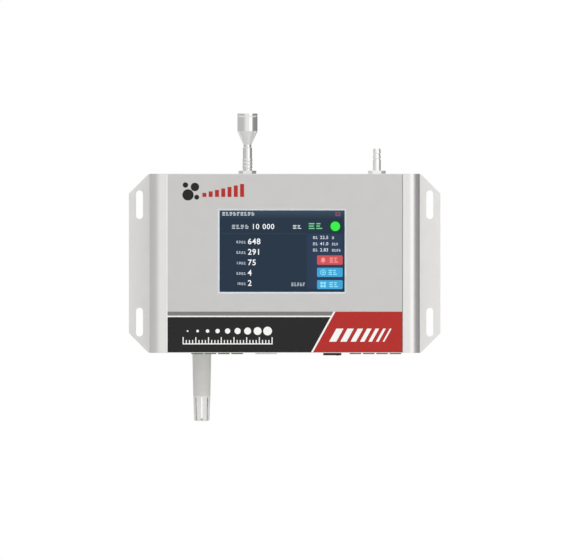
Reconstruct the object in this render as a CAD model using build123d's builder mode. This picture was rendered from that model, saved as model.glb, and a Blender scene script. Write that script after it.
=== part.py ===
"""Wall-mounted airborne particle counter, drawn in millimetres.

The origin is the middle of the face that lies on the wall. The instrument stands out from the wall
towards -Y, +Z is up and +X is to the right of someone who reads its screen. "Depth" always means
the distance from the wall, so a point at depth d has Y = -d.
"""
from build123d import *
import os
from math import cos, radians, sin, sqrt, tan

os.makedirs("parts", exist_ok=True)

# ---------------------------------------------------------------- housing
housing_width = 211.0  # over the two sides of the cover
housing_height = 139.8
housing_depth = 68.0  # wall to front face
ear_width = 16.5  # how far each mounting ear reaches past the cover
ear_chamfer = 15.2
slot_width = 5.5
slot_length = 22.5
slot_rise = 46.0  # middle of a slot above or below the middle of the ear
sheet = 2.0  # folded chassis sheet
bend_radius = 1.5  # inside of the folds
bend_relief = 0.8
cover_side_wall = 2.5
cover_front_wall = 3.0
cover_corner_radius = 8.5
flange_gap = 0.2  # between the chassis flanges and the cover around them
channel_radius = 3.8  # round screw channels inside the cover
channel_inset = 4.8  # from a channel's axis to the inner face beside it
channel_web = 3.0

# ---------------------------------------------------------------- fasteners
csk_radius = 1.5
csk_head_radius = 3.0
csk_land = 0.1  # a countersunk head lies this far below the sheet
screw_gap = 0.05
csk_socket_across = 2.0
csk_socket_depth = 1.2
cover_screw_length = 11.0
chassis_screw_length = 7.5
pan_radius = 1.25
pan_head_radius = 2.4
pan_head_height = 1.6
pan_screw_length = 4.6

# ---------------------------------------------------------------- front overlay and its print
overlay_width = 183.5
overlay_thickness = 0.5
overlay_gap = 0.5  # joint between the overlay and the bed around it
overlay_drop = 0.3  # the print lies this far below the shoulders of the cover
ink = 0.1  # printed film
band_height = 28.0  # dark band along the lower edge
line_width = 1.1  # white line above the dark band
stripe_height = 3.1
slant_line_width = 1.35
red_foot_x = 21.8  # where the slanted edge of the red field meets the lower edge
slant = 28.9  # degrees from upright

# ---------------------------------------------------------------- display
screen_width = 97.6
screen_height = 63.6
screen_x = -2.0
screen_z = 9.5
bezel_rim = 1.3  # bevelled rim around the screen
bezel_bevel = 0.7
bezel_frame = 3.2  # part of the bezel that the overlay hides
bezel_lip = 1.1  # thickness of the rim in front of the glass
bezel_gap = 0.2
bezel_flange = 1.5
bezel_lap = 2.5  # how far the flange reaches behind the cover, above and below
bezel_ear = 8.0  # the same at the sides, where the posts stand
bezel_post_radius = 3.2
bezel_post_rise = 30.0
glass_overlap = 2.5  # how far the glass reaches behind the rim
glass_gap = 0.15
glass_thickness = 1.8
lcd_thickness = 3.2
lcd_inset = 0.8
board_thickness = 1.6
display_board_height = 70.0

# ---------------------------------------------------------------- air path
inlet_x = -29.1
exhaust_x = 72.1
port_hex_across = 12.0
port_hex_height = 2.6
port_thread_radius = 4.0
port_thread_spare = 1.0
port_nut_across = 11.0
port_nut_height = 3.0
sample_hose_space = 3.3  # between the inlet's nipple and the sensor's upper jet
exhaust_hose_space = 2.5  # between the exhaust's nipple and the filter's upper nipple
nipple_radius = 2.8
nipple_length = 9.0
nipple_bead = 0.3
air_bore_radius = 1.8
seal_thickness = 1.0
seal_radius = 5.6
hose_wall = 1.6
hose_gap = 0.05
hose_end_gap = 0.3
jet_radius = 3.0  # spigot pressed into the sensor block
jet_spigot = 5.0
jet_flange_radius = 5.0
jet_flange = 1.2

# ---------------------------------------------------------------- sampling cup on the inlet
cup_radius = 7.85
cup_wall = 0.9
cup_height = 13.7
cup_ring_drop = 2.2
cup_ring_depth = 0.25
cup_ring_rise = 0.5  # from the middle of the turned ring to its edges
cone_height = 10.6
neck_radius = 3.1
neck_height = 2.2
sleeve_radius = 3.6
sleeve_height = 18.2
sleeve_bead = 0.25
bead_count = 3
bead_pitch = 2.7
inlet_tube_radius = 2.4
inlet_tube_length = 14.0
inlet_tube_gap = 0.05

# ---------------------------------------------------------------- hose barb on the exhaust
barb_count = 2
barb_pitch = 3.9
barb_lead_radius = 2.7
barb_crest_radius = 3.2
barb_root_radius = 2.65
barb_groove = 0.9
barb_tip_spare = 0.7  # extra length of the first barb
barb_stem_radius = 3.1
barb_stem_length = 17.2

# ---------------------------------------------------------------- optical sensor
sensor_width = 60.0
sensor_height = 34.0
sensor_block_depth = 24.0
sensor_chamber_radius = 8.0
laser_radius = 4.5
laser_length = 26.0
laser_seat = 14.0
laser_barrel_radius = 6.0
trap_radius = 6.0
trap_length = 8.0
trap_seat = 6.0
beam_radius = 1.5
seat_gap = 0.05
detector_width = 26.0
detector_bore_radius = 5.0
detector_can_radius = 4.6
detector_can_length = 3.0
spacer_radius = 3.5
spacer_edge = 5.0
spacer_stud_radius = 1.5
spacer_stud_length = 5.0
thread_spare = 0.5  # a threaded hole is this much deeper than its screw
seat_spare = 0.5  # a seated piece stops this far short of the end of its bore

# ---------------------------------------------------------------- blower
blower_radius = 17.0
blower_board_gap = 1.4  # between the blower and the back of the main board
blower_wall = 1.6
blower_height = 13.0
blower_cover_thickness = 2.0
blower_hose_space = 3.0  # between the sensor's lower jet and the blower's nipple
duct_width = 8.0
duct_reach = 20.0  # from the blower's axis to the end of its outlet duct
impeller_radius = 12.6
impeller_disc = 1.4
impeller_hub_radius = 3.6
impeller_height = 8.4
impeller_lift = 1.0
eye_radius = 6.5
blade_count = 9
blade_thickness = 0.9
blade_sweep = 38.0  # degrees that a blade leans back on its way out
shaft_radius = 1.2
shaft_gap = 0.04
motor_radius = 11.0
motor_height = 11.0
motor_boss_radius = 4.0
motor_boss_height = 0.6
bracket_sheet = 1.5
bracket_width = 34.0
bracket_leg = 20.0
bracket_screw_drop = 11.0
bracket_screw_x = 12.0
insert_radius = 2.8  # riveted nuts for the bracket's screws
insert_length = 5.0

# ---------------------------------------------------------------- exhaust filter and its hoses
filter_radius = 13.0
filter_height = 42.0
filter_rim = 0.8
filter_rim_height = 5.0
clip_wall = 1.6
clip_width = 12.0
clip_foot_width = 14.0
clip_foot_height = 31.0
clip_foot_thickness = 6.5
clip_screw_rise = 11.5
clip_opening = 100.0  # degrees of the ring that are left open
clip_gap = 0.05
hose_turn_x = 30.0
hose_first_bend = 40.0
hose_last_bend = 12.0

# ---------------------------------------------------------------- main board and connectors
board_front_gap = 3.5  # between the tallest connector and the inner face of the cover
main_board_width = 186.0
main_board_height = 39.0
main_board_gap = 1.0  # above the bottom flange
standoff_radius = 3.0
standoff_x = 88.0
standoff_edge = 6.0  # from the board's upper edge to its upper holes
standoff_clearance = 0.6  # between the lower screw heads and the terminal pins
panel_gap = 0.4  # around connectors that pass through the bottom flange
terminal_count = 4
terminal_pitch = 10.4
terminal_width = 9.1
terminal_height = 7.4
terminal_length = 12.4
terminal_reach = 1.0  # how far they stand out below the housing
terminal_wall = 0.8
terminal_mouth = 8.6
terminal_pin = 1.0
terminal_pin_length = 4.2
terminal_pin_tail = 1.4
terminal_poles = 3.81
left_terminals_x = -52.7
right_terminals_x = 70.9
jack_x = -14.5
jack_width = 16.8
jack_height = 13.5
jack_length = 21.3
jack_reach = 1.0
jack_shell = 0.5
jack_mouth_width = 11.9
jack_mouth_height = 7.2
jack_mouth_depth = 12.5
jack_latch_width = 6.0
jack_latch_height = 2.2
jack_contact_count = 8
jack_contact_pitch = 1.02
jack_contact_width = 0.4
jack_contact_height = 0.8
jack_contact_length = 8.0

# ---------------------------------------------------------------- power switch
switch_x = 37.2
switch_board_gap = 1.4  # between the main board and the bezel of the switch
switch_width = 14.2
switch_breadth = 10.2
switch_bezel = 1.9
switch_rim = 0.8
switch_body_height = 11.0
switch_wall = 0.9
switch_floor = 1.2
rocker_gap = 0.25
rocker_tilt = 7.0  # either side of level
rocker_face_rise = 0.2  # how far the rocker's ends stay inside its bezel when level
rocker_dip = 0.5
rocker_back = 1.2
pivot_drop = 2.2  # from the bezel's face up to the pivot
pivot_radius = 0.6
pivot_gap = 0.05
pivot_length = 0.9
tab_width = 2.0
tab_thickness = 0.8
tab_length = 4.0
tab_spread = 3.6

# ---------------------------------------------------------------- temperature and humidity probe
probe_x = -64.8
probe_top_radius = 7.4
probe_waist_radius = 6.7
probe_tip_radius = 6.0
probe_body_length = 33.8
probe_cap_length = 19.6
probe_wall = 1.5
probe_tip_floor = 2.0
probe_tip_fillet = 1.3
probe_slot_width = 1.2
probe_slot_count = 8
probe_slot_start = 0.9  # solid ring above the slots
probe_slot_end = 0.5  # the slots stop this far above the tip
probe_spigot = 4.0
probe_spigot_gap = 0.05
probe_head = 3.0
probe_thread_radius = 4.9
probe_thread_spare = 1.5
probe_nut_across = 14.0
probe_nut_height = 4.0
probe_bore_radius = 2.4
strip_width = 5.0
strip_thickness = 1.0
strip_end_gap = 1.5  # the board ends this far above the slots
chip_size = 2.5
chip_height = 0.9

# ---------------------------------------------------------------- worked out from the above
half_width = housing_width / 2
half_height = housing_height / 2
inner_half_width = half_width - cover_side_wall
inner_front = housing_depth - cover_front_wall
inner_top = half_height - sheet
flange_half_width = inner_half_width - flange_gap
flange_front = inner_front - flange_gap
fold_outside = bend_radius + sheet
recess_floor = housing_depth - overlay_drop - ink - overlay_thickness
overlay_face = recess_floor + overlay_thickness
channel_x = inner_half_width - channel_inset
flange_corner_radius = cover_corner_radius - cover_side_wall - flange_gap
channel_depths = (fold_outside + channel_radius + flange_gap, inner_front - channel_inset)
csk_head_height = csk_head_radius - csk_radius
main_board_depth = inner_front - board_front_gap - jack_height  # its front face
main_board_back = main_board_depth - board_thickness
port_depth = main_board_back - blower_board_gap - blower_radius
switch_depth = main_board_depth + switch_board_gap + switch_breadth / 2
bezel_half_width = screen_width / 2 + bezel_rim + bezel_frame
bezel_half_height = screen_height / 2 + bezel_rim + bezel_frame
bezel_flange_back = inner_front - bezel_flange
glass_face = recess_floor - bezel_lip
glass_half_width = screen_width / 2 + glass_overlap
glass_half_height = screen_height / 2 + glass_overlap
lcd_face = glass_face - glass_thickness
display_board_face = lcd_face - lcd_thickness
display_board_back = display_board_face - board_thickness
bezel_post_x = bezel_half_width + bezel_ear - bezel_post_radius
hose_radius = nipple_radius + hose_gap + hose_wall
port_thread_length = sheet + seal_thickness + port_nut_height + port_thread_spare
port_tip_z = half_height - port_thread_length - nipple_length
jet_length = jet_flange + nipple_length
sensor_top_z = port_tip_z - sample_hose_space - jet_length
sensor_base_z = sensor_top_z - sensor_height
sensor_middle_z = sensor_base_z + sensor_height / 2
sensor_back = port_depth - sensor_block_depth / 2
sensor_front = port_depth + sensor_block_depth / 2
sensor_left = inlet_x - sensor_width / 2
sensor_right = inlet_x + sensor_width / 2
blower_cover_z = sensor_base_z - jet_length - blower_hose_space - nipple_length
blower_top_z = blower_cover_z - blower_cover_thickness
blower_base_z = blower_top_z - blower_height
duct_depth = port_depth - blower_radius + duct_width / 2
duct_z = blower_base_z + blower_height / 2
filter_top_z = port_tip_z - exhaust_hose_space - nipple_length
filter_base_z = filter_top_z - filter_height
filter_middle_z = filter_base_z + filter_height / 2
board_base_z = -inner_top + main_board_gap
terminal_base_z = -half_height - terminal_reach
terminal_depth = main_board_depth + terminal_height / 2
terminal_top_z = terminal_base_z + terminal_length
pin_end_z = terminal_top_z + terminal_pin_tail
jack_depth = main_board_depth + jack_height / 2
jack_base_z = -half_height - jack_reach
switch_face_z = -half_height - switch_bezel
switch_body_length = switch_width - 2 * switch_rim
switch_body_breadth = switch_breadth - 2 * switch_rim
switch_well_length = switch_body_length - 2 * switch_wall
switch_well_breadth = switch_body_breadth - 2 * switch_wall
pivot_z = switch_face_z + pivot_drop
probe_waist_z = -half_height - probe_body_length
probe_tip_z = probe_waist_z - probe_cap_length

board_holes = [
    (side * standoff_x, z)
    for side in (-1, 1)
    for z in (
        pin_end_z + standoff_clearance + pan_head_radius,
        board_base_z + main_board_height - standoff_edge,
    )
]
spacer_holes = [
    (inlet_x + side * (sensor_width / 2 - spacer_edge), sensor_middle_z + rise)
    for side in (-1, 1)
    for rise in (spacer_edge - sensor_height / 2, sensor_height / 2 - spacer_edge)
]
spacer_screw_length = (sheet + sensor_back) / 2
bracket_holes = [
    (inlet_x + side * bracket_screw_x, blower_base_z - bracket_screw_drop) for side in (-1, 1)
]
clip_holes = [(exhaust_x, filter_middle_z + side * clip_screw_rise) for side in (-1, 1)]
long_screw_holes = board_holes + bracket_holes + clip_holes
cover_holes = [(side * channel_x, depth) for side in (-1, 1) for depth in channel_depths]
display_holes = [
    (screen_x + side * bezel_post_x, screen_z + rise)
    for side in (-1, 1)
    for rise in (-bezel_post_rise, bezel_post_rise)
]

UP = (0, 0, 1)
DOWN = (0, 0, -1)
OUT = (0, -1, 0)  # away from the wall
IN = (0, 1, 0)
RIGHT = (1, 0, 0)


# ================================================================ helpers
def wall_plane(depth):
    """A plane parallel to the wall, drawn as the viewer sees it: X to the right and Z up."""
    return Plane.XZ.offset(depth)


def face_plane(origin, normal):
    """A plane at origin that looks along normal, for holes drilled against that direction."""
    side = UP if normal[0] else RIGHT
    return Plane(origin=origin, x_dir=side, z_dir=normal)


def turn(origin, direction, points, mode=Mode.ADD):
    """Revolves a closed profile of (radius, distance along direction) points."""
    side = UP if direction[0] else RIGHT
    frame = Plane(origin=origin, x_dir=side, z_dir=Vector(*side).cross(Vector(*direction)))
    with BuildSketch(frame) as profile:
        with BuildLine():
            Polyline(*points, close=True)
        make_face()
    revolve(profile.sketch, axis=Axis(origin, direction), mode=mode)


def rod(origin, direction, radius, start, end, mode=Mode.ADD):
    """A round bar between two distances along direction."""
    turn(origin, direction, [(0, start), (radius, start), (radius, end), (0, end)], mode)


def tube(origin, direction, inner, outer, start, end):
    """A plain tube between two distances along direction."""
    turn(origin, direction, [(inner, start), (outer, start), (outer, end), (inner, end)])


def block(left, right, back, front, bottom, top, mode=Mode.ADD):
    """A straight block; back and front are depths."""
    with BuildSketch(wall_plane(back)) as outline:
        with Locations(((left + right) / 2, (bottom + top) / 2)):
            Rectangle(right - left, top - bottom)
    extrude(outline.sketch, amount=front - back, mode=mode)


def hexagon(origin, direction, across, start, end, mode=Mode.ADD):
    """A hexagonal prism, across its flats, between two distances along direction."""
    frame = face_plane(origin, direction).offset(start)
    with BuildSketch(frame) as outline:
        RegularPolygon(across / 2, 6, major_radius=False)
    extrude(outline.sketch, amount=end - start, mode=mode)


def countersunk_holes(frames, depth):
    """Drills countersunk holes into faces that look along each frame's Z."""
    for frame in frames:
        with Locations(Location(frame)):
            CounterSinkHole(csk_radius + screw_gap, csk_head_radius + csk_land + screw_gap, depth, 90)


def countersunk_screw(origin, direction, length):
    """A countersunk socket screw driven along direction into the face at origin."""
    head_end = csk_land + csk_head_height
    turn(origin, direction, [(0, csk_land), (csk_head_radius, csk_land), (csk_radius, head_end),
                             (csk_radius, length), (0, length)])
    hexagon(origin, direction, csk_socket_across, csk_land, csk_land + csk_socket_depth, Mode.SUBTRACT)


def pan_screw(origin, direction, length):
    """A pan-head screw whose head rests on the face at origin."""
    turn(origin, direction, [(0, -pan_head_height), (pan_head_radius * 0.6, -pan_head_height),
                             (pan_head_radius, -pan_head_height * 0.45), (pan_head_radius, 0),
                             (pan_radius, 0), (pan_radius, length), (0, length)])


def save(builder, name):
    """Labels a finished piece and writes it as one STEP file."""
    builder.part.label = name
    export_step(builder.part, f"parts/{name}.step")


# ================================================================ casing
chassis_frames = [face_plane((x, 0, z), IN) for x, z in long_screw_holes + spacer_holes]
cover_frames = [face_plane((x, -depth, half_height), UP) for x, depth in cover_holes]
cover_frames += [face_plane((x, -depth, -half_height), DOWN) for x, depth in cover_holes]

with BuildPart() as chassis_tray:
    # section through the back wall and its two folded flanges
    with BuildSketch(Plane.YZ):
        with BuildLine():
            FilletPolyline(
                (-flange_front, half_height), (0, half_height),
                (0, -half_height), (-flange_front, -half_height),
                radius=fold_outside,
            )
            FilletPolyline(
                (-flange_front, inner_top), (-sheet, inner_top),
                (-sheet, -inner_top), (-flange_front, -inner_top),
                radius=bend_radius,
            )
            Line((-flange_front, half_height), (-flange_front, inner_top))
            Line((-flange_front, -half_height), (-flange_front, -inner_top))
        make_face()
    extrude(amount=flange_half_width, both=True)
    flange_corners = chassis_tray.edges().filter_by(Axis.Z).group_by(Axis.Y)[0]
    fillet(flange_corners, flange_corner_radius)
    # full width of the back wall with its slotted ears, relieved beside the folds
    with BuildSketch(wall_plane(0)) as ears:
        Rectangle(housing_width + 2 * ear_width, housing_height)
        chamfer(ears.vertices(), ear_chamfer)
        with Locations((0, half_height - fold_outside / 2), (0, fold_outside / 2 - half_height)):
            Rectangle(2 * (flange_half_width + bend_relief), fold_outside, mode=Mode.SUBTRACT)
        with GridLocations(housing_width + ear_width, 2 * slot_rise, 2, 2):
            SlotOverall(slot_length, slot_width, rotation=90, mode=Mode.SUBTRACT)
    extrude(amount=sheet)
    countersunk_holes(chassis_frames, sheet)
    countersunk_holes(cover_frames, sheet)
    # air ports in the upper flange
    with BuildSketch(Plane.XY.offset(inner_top)):
        with Locations((inlet_x, -port_depth), (exhaust_x, -port_depth)):
            Circle(port_thread_radius + screw_gap)
    extrude(amount=sheet, mode=Mode.SUBTRACT)
    # connectors, switch and probe in the lower flange
    with BuildSketch(Plane.XY.offset(-half_height)):
        with Locations((left_terminals_x, -terminal_depth), (right_terminals_x, -terminal_depth)):
            Rectangle(
                (terminal_count - 1) * terminal_pitch + terminal_width + 2 * panel_gap,
                terminal_height + 2 * panel_gap,
            )
        with Locations((jack_x, -jack_depth)):
            Rectangle(jack_width + 2 * panel_gap, jack_height + 2 * panel_gap)
        with Locations((switch_x, -switch_depth)):
            Rectangle(switch_body_length + 2 * screw_gap, switch_body_breadth + 2 * screw_gap)
        with Locations((probe_x, -port_depth)):
            Circle(probe_thread_radius + screw_gap)
    extrude(amount=sheet, mode=Mode.SUBTRACT)
save(chassis_tray, "chassis_tray")

with BuildPart() as housing_cover:
    # extruded section: two sides and the front, open to the wall
    with BuildSketch(Plane.XY.offset(-half_height)):
        with BuildLine():
            FilletPolyline(
                (-half_width, -sheet), (-half_width, -housing_depth),
                (half_width, -housing_depth), (half_width, -sheet),
                radius=cover_corner_radius,
            )
            FilletPolyline(
                (-inner_half_width, -sheet), (-inner_half_width, -inner_front),
                (inner_half_width, -inner_front), (inner_half_width, -sheet),
                radius=cover_corner_radius - cover_side_wall,
            )
            Line((-half_width, -sheet), (-inner_half_width, -sheet))
            Line((half_width, -sheet), (inner_half_width, -sheet))
        make_face()
    extrude(amount=housing_height)
    # screw channels, cut back at both ends to clear the flanges
    with BuildSketch(Plane.XY.offset(-inner_top)):
        for x, depth in cover_holes:
            side = 1 if x > 0 else -1
            with Locations((x, -depth)):
                Circle(channel_radius)
            with Locations((x + side * channel_inset / 2, -depth)):
                Rectangle(channel_inset, channel_web)
        with Locations(*[(x, -depth) for x, depth in cover_holes]):
            Circle(csk_radius + screw_gap, mode=Mode.SUBTRACT)
    extrude(amount=2 * inner_top)
    # shallow bed for the overlay, and the window for the display
    block(
        -overlay_width / 2 - overlay_gap, overlay_width / 2 + overlay_gap, recess_floor, housing_depth,
        -half_height, half_height, Mode.SUBTRACT,
    )
    block(
        screen_x - bezel_half_width - bezel_gap, screen_x + bezel_half_width + bezel_gap,
        inner_front, recess_floor,
        screen_z - bezel_half_height - bezel_gap, screen_z + bezel_half_height + bezel_gap, Mode.SUBTRACT,
    )
save(housing_cover, "housing_cover")

with BuildPart() as cover_screws:
    for x, depth in cover_holes:
        countersunk_screw((x, -depth, half_height), DOWN, cover_screw_length)
        countersunk_screw((x, -depth, -half_height), UP, cover_screw_length)
save(cover_screws, "cover_screws")

with BuildPart() as chassis_screws:
    for x, z in long_screw_holes:
        countersunk_screw((x, 0, z), OUT, chassis_screw_length)
    for x, z in spacer_holes:
        countersunk_screw((x, 0, z), OUT, spacer_screw_length)
save(chassis_screws, "chassis_screws")

# ================================================================ front overlay
overlay_left = -overlay_width / 2
overlay_right = overlay_width / 2
overlay_base = -half_height + overlay_gap
overlay_top = half_height - overlay_gap
band_top = -half_height + band_height
stripe_base = band_top + line_width
print_top = stripe_base + stripe_height


def slant_x(z, shift=0.0):
    """Where the slanted edge of the red field is at height z, moved left by shift."""
    return red_foot_x - shift + (z + half_height) * tan(radians(slant))


def printed_field(*corners):
    """A thin printed film on the overlay's face."""
    with BuildSketch(wall_plane(overlay_face)) as outline:
        with BuildLine():
            Polyline(*corners, close=True)
        make_face()
    extrude(outline.sketch, amount=ink)


with BuildPart() as front_overlay:
    block(overlay_left, overlay_right, recess_floor, overlay_face, overlay_base, overlay_top)
    with BuildSketch(wall_plane(recess_floor)):
        with Locations((screen_x, screen_z)):
            Rectangle(screen_width + 2 * bezel_rim, screen_height + 2 * bezel_rim)
    extrude(amount=overlay_thickness, mode=Mode.SUBTRACT)
save(front_overlay, "front_overlay")

slant_gap = slant_line_width / cos(radians(slant))

with BuildPart() as dark_band_print:
    printed_field(
        (overlay_left, overlay_base), (slant_x(overlay_base, slant_gap), overlay_base),
        (slant_x(band_top, slant_gap), band_top), (overlay_left, band_top),
    )
save(dark_band_print, "dark_band_print")

with BuildPart() as grey_stripe_print:
    printed_field(
        (overlay_left, stripe_base), (slant_x(stripe_base, slant_gap), stripe_base),
        (slant_x(print_top, slant_gap), print_top), (overlay_left, print_top),
    )
save(grey_stripe_print, "grey_stripe_print")

with BuildPart() as white_line_print:
    # one line above the dark band that turns down between the band and the red field
    printed_field(
        (overlay_left, band_top), (slant_x(band_top, slant_gap), band_top),
        (slant_x(overlay_base, slant_gap), overlay_base), (slant_x(overlay_base), overlay_base),
        (slant_x(print_top), print_top), (slant_x(print_top, slant_gap), print_top),
        (slant_x(stripe_base, slant_gap), stripe_base), (overlay_left, stripe_base),
    )
save(white_line_print, "white_line_print")

with BuildPart() as red_field_print:
    printed_field(
        (slant_x(overlay_base), overlay_base), (overlay_right, overlay_base),
        (overlay_right, print_top), (slant_x(print_top), print_top),
    )
save(red_field_print, "red_field_print")


# ================================================================ display
with BuildPart() as display_bezel:
    # raised frame in the window, and the flange bonded behind the cover
    with BuildSketch(wall_plane(bezel_flange_back)):
        with Locations((screen_x, screen_z)):
            Rectangle(2 * bezel_half_width, 2 * bezel_half_height)
    extrude(amount=recess_floor - bezel_flange_back)
    with BuildSketch(wall_plane(bezel_flange_back)):
        with Locations((screen_x, screen_z)):
            RectangleRounded(
                2 * (bezel_half_width + bezel_ear), 2 * (bezel_half_height + bezel_lap), bezel_post_radius
            )
    extrude(amount=bezel_flange)
    # posts for the display board
    with BuildSketch(wall_plane(display_board_face)):
        with Locations(*display_holes):
            Circle(bezel_post_radius)
    extrude(amount=inner_front - display_board_face)
    with BuildSketch(wall_plane(display_board_face)):
        with Locations(*display_holes):
            Circle(pan_radius + screw_gap)
    extrude(amount=inner_front - display_board_face - 0.4 * bezel_flange, mode=Mode.SUBTRACT)
    # pocket for the glass, and the opening with its bevel
    with BuildSketch(wall_plane(bezel_flange_back)):
        with Locations((screen_x, screen_z)):
            Rectangle(2 * (glass_half_width + glass_gap), 2 * (glass_half_height + glass_gap))
    extrude(amount=glass_face - bezel_flange_back, mode=Mode.SUBTRACT)
    with BuildSketch(wall_plane(glass_face)):
        with Locations((screen_x, screen_z)):
            Rectangle(screen_width, screen_height)
    extrude(amount=bezel_lip, mode=Mode.SUBTRACT)
    opening = display_bezel.faces().filter_by(Axis.Y).sort_by(Axis.Y)[0]
    chamfer(opening.inner_wires()[0].edges(), bezel_bevel)
save(display_bezel, "display_bezel")

with BuildPart() as touch_glass:
    with BuildSketch(wall_plane(lcd_face)):
        with Locations((screen_x, screen_z)):
            Rectangle(2 * glass_half_width, 2 * glass_half_height)
    extrude(amount=glass_thickness)
save(touch_glass, "touch_glass")

with BuildPart() as lcd_panel:
    with BuildSketch(wall_plane(display_board_face)):
        with Locations((screen_x, screen_z)):
            Rectangle(2 * (glass_half_width - lcd_inset), 2 * (glass_half_height - lcd_inset))
    extrude(amount=lcd_thickness)
save(lcd_panel, "lcd_panel")

with BuildPart() as display_board:
    with BuildSketch(wall_plane(display_board_back)):
        with Locations((screen_x, screen_z)):
            RectangleRounded(2 * (bezel_post_x + bezel_post_radius), display_board_height, bezel_post_radius)
        with Locations(*display_holes):
            Circle(pan_radius + screw_gap, mode=Mode.SUBTRACT)
    extrude(amount=board_thickness)
save(display_board, "display_board")

with BuildPart() as display_screws:
    for x, z in display_holes:
        pan_screw((x, -display_board_back, z), OUT, pan_screw_length)
save(display_screws, "display_screws")


# ================================================================ air ports
def nipple_profile(base, tip):
    """Outline of a hose nipple from its base to its tip, with a low bead near the tip."""
    step = (tip - base) / nipple_length
    return [
        (nipple_radius - nipple_bead, base),
        (nipple_radius - nipple_bead, tip - 3.0 * step),
        (nipple_radius, tip - 2.4 * step),
        (nipple_radius - nipple_bead, tip),
        (air_bore_radius, tip),
    ]


def port_fitting(x, outer_profile):
    """A bulkhead fitting: outer_profile above the flange, thread and hose nipple below it."""
    origin = (x, -port_depth, 0)
    thread_end = half_height - port_thread_length
    turn(origin, UP, [
        (air_bore_radius, half_height + port_hex_height),
        *outer_profile,
        (port_thread_radius, half_height + port_hex_height),
        (port_thread_radius, thread_end),
        *nipple_profile(thread_end, port_tip_z),
    ])
    hexagon(origin, UP, port_hex_across, half_height, half_height + port_hex_height)
    rod(origin, UP, air_bore_radius, port_tip_z, half_height + port_hex_height, Mode.SUBTRACT)


port_top_z = half_height + port_hex_height
inlet_tube_top = port_top_z + inlet_tube_length
barb_top = port_top_z + barb_stem_length

with BuildPart() as inlet_fitting:
    port_fitting(inlet_x, [
        (air_bore_radius, inlet_tube_top), (inlet_tube_radius, inlet_tube_top),
        (inlet_tube_radius, port_top_z),
    ])
save(inlet_fitting, "inlet_fitting")

with BuildPart() as exhaust_fitting:
    # each barb widens from its lead to a sharp crest, with a groove behind it
    barb_points = [(air_bore_radius, barb_top)]
    lead_z = barb_top
    for index in range(barb_count):
        groove_base = barb_top - barb_tip_spare - (index + 1) * barb_pitch
        barb_points += [
            (barb_lead_radius, lead_z),
            (barb_crest_radius, groove_base + 1.4 * barb_groove),
            (barb_root_radius, groove_base + barb_groove),
            (barb_root_radius, groove_base),
        ]
        lead_z = groove_base
    port_fitting(exhaust_x, [*barb_points, (barb_stem_radius, lead_z), (barb_stem_radius, port_top_z)])
save(exhaust_fitting, "exhaust_fitting")

with BuildPart() as port_seals:
    for x in (inlet_x, exhaust_x):
        tube((x, -port_depth, 0), DOWN, port_thread_radius + screw_gap, seal_radius,
             -inner_top, seal_thickness - inner_top)
save(port_seals, "port_seals")

with BuildPart() as port_nuts:
    for x in (inlet_x, exhaust_x):
        origin = (x, -port_depth, 0)
        nut_top = inner_top - seal_thickness
        hexagon(origin, UP, port_nut_across, nut_top - port_nut_height, nut_top)
        rod(origin, UP, port_thread_radius + screw_gap, nut_top - port_nut_height, nut_top, Mode.SUBTRACT)
save(port_nuts, "port_nuts")

with BuildPart() as sampling_cup:
    sleeve_top = port_top_z + sleeve_height
    neck_top = sleeve_top + neck_height
    cup_base = neck_top + cone_height
    cup_top = cup_base + cup_height
    sleeve_bore = inlet_tube_radius + inlet_tube_gap
    ring_z = cup_top - cup_ring_drop
    outline = [(sleeve_bore, port_top_z), (sleeve_radius, port_top_z)]
    for index in range(bead_count):
        foot = port_top_z + 1.4 + index * bead_pitch
        outline += [
            (sleeve_radius, foot),
            (sleeve_radius + sleeve_bead, foot + 0.3 * bead_pitch),
            (sleeve_radius + sleeve_bead, foot + 0.7 * bead_pitch),
            (sleeve_radius, foot + 0.95 * bead_pitch),
        ]
    outline += [
        (sleeve_radius, sleeve_top - 0.4), (neck_radius, sleeve_top), (neck_radius, neck_top),
        (cup_radius, cup_base), (cup_radius, ring_z - cup_ring_rise),
        (cup_radius - cup_ring_depth, ring_z), (cup_radius, ring_z + cup_ring_rise), (cup_radius, cup_top),
        (cup_radius - cup_wall, cup_top), (cup_radius - cup_wall, cup_base + 0.3 * cup_wall),
        (air_bore_radius, neck_top + 0.5 * cup_wall), (air_bore_radius, inlet_tube_top + 0.3),
        (sleeve_bore, inlet_tube_top + 0.3),
    ]
    turn((inlet_x, -port_depth, 0), UP, outline)
save(sampling_cup, "sampling_cup")


# ================================================================ optical sensor
sensor_origin = (inlet_x, -port_depth, sensor_middle_z)

with BuildPart() as sensor_block:
    with BuildSketch(wall_plane(sensor_back)):
        with Locations((inlet_x, sensor_middle_z)):
            RectangleRounded(sensor_width, sensor_height, spacer_edge / 2)
    extrude(amount=sensor_block_depth)
    # crossing bores: sample air from top to bottom, laser beam from left to right, detector in front
    half = sensor_height / 2
    rod(sensor_origin, UP, jet_radius + seat_gap, half - jet_spigot, half, Mode.SUBTRACT)
    rod(sensor_origin, UP, jet_radius + seat_gap, -half, jet_spigot - half, Mode.SUBTRACT)
    rod(sensor_origin, UP, air_bore_radius, -half, half, Mode.SUBTRACT)
    reach = sensor_width / 2
    rod(sensor_origin, RIGHT, laser_radius + seat_gap, -reach, laser_seat - reach, Mode.SUBTRACT)
    rod(sensor_origin, RIGHT, trap_radius + seat_gap, reach - trap_seat, reach, Mode.SUBTRACT)
    rod(sensor_origin, RIGHT, beam_radius, -reach, reach, Mode.SUBTRACT)
    rod(sensor_origin, OUT, detector_bore_radius, 0, sensor_block_depth / 2, Mode.SUBTRACT)
    for x, z in spacer_holes:
        rod((x, -sensor_back, z), OUT, spacer_stud_radius + seat_gap, 0, spacer_stud_length + thread_spare,
            Mode.SUBTRACT)
save(sensor_block, "sensor_block")

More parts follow.
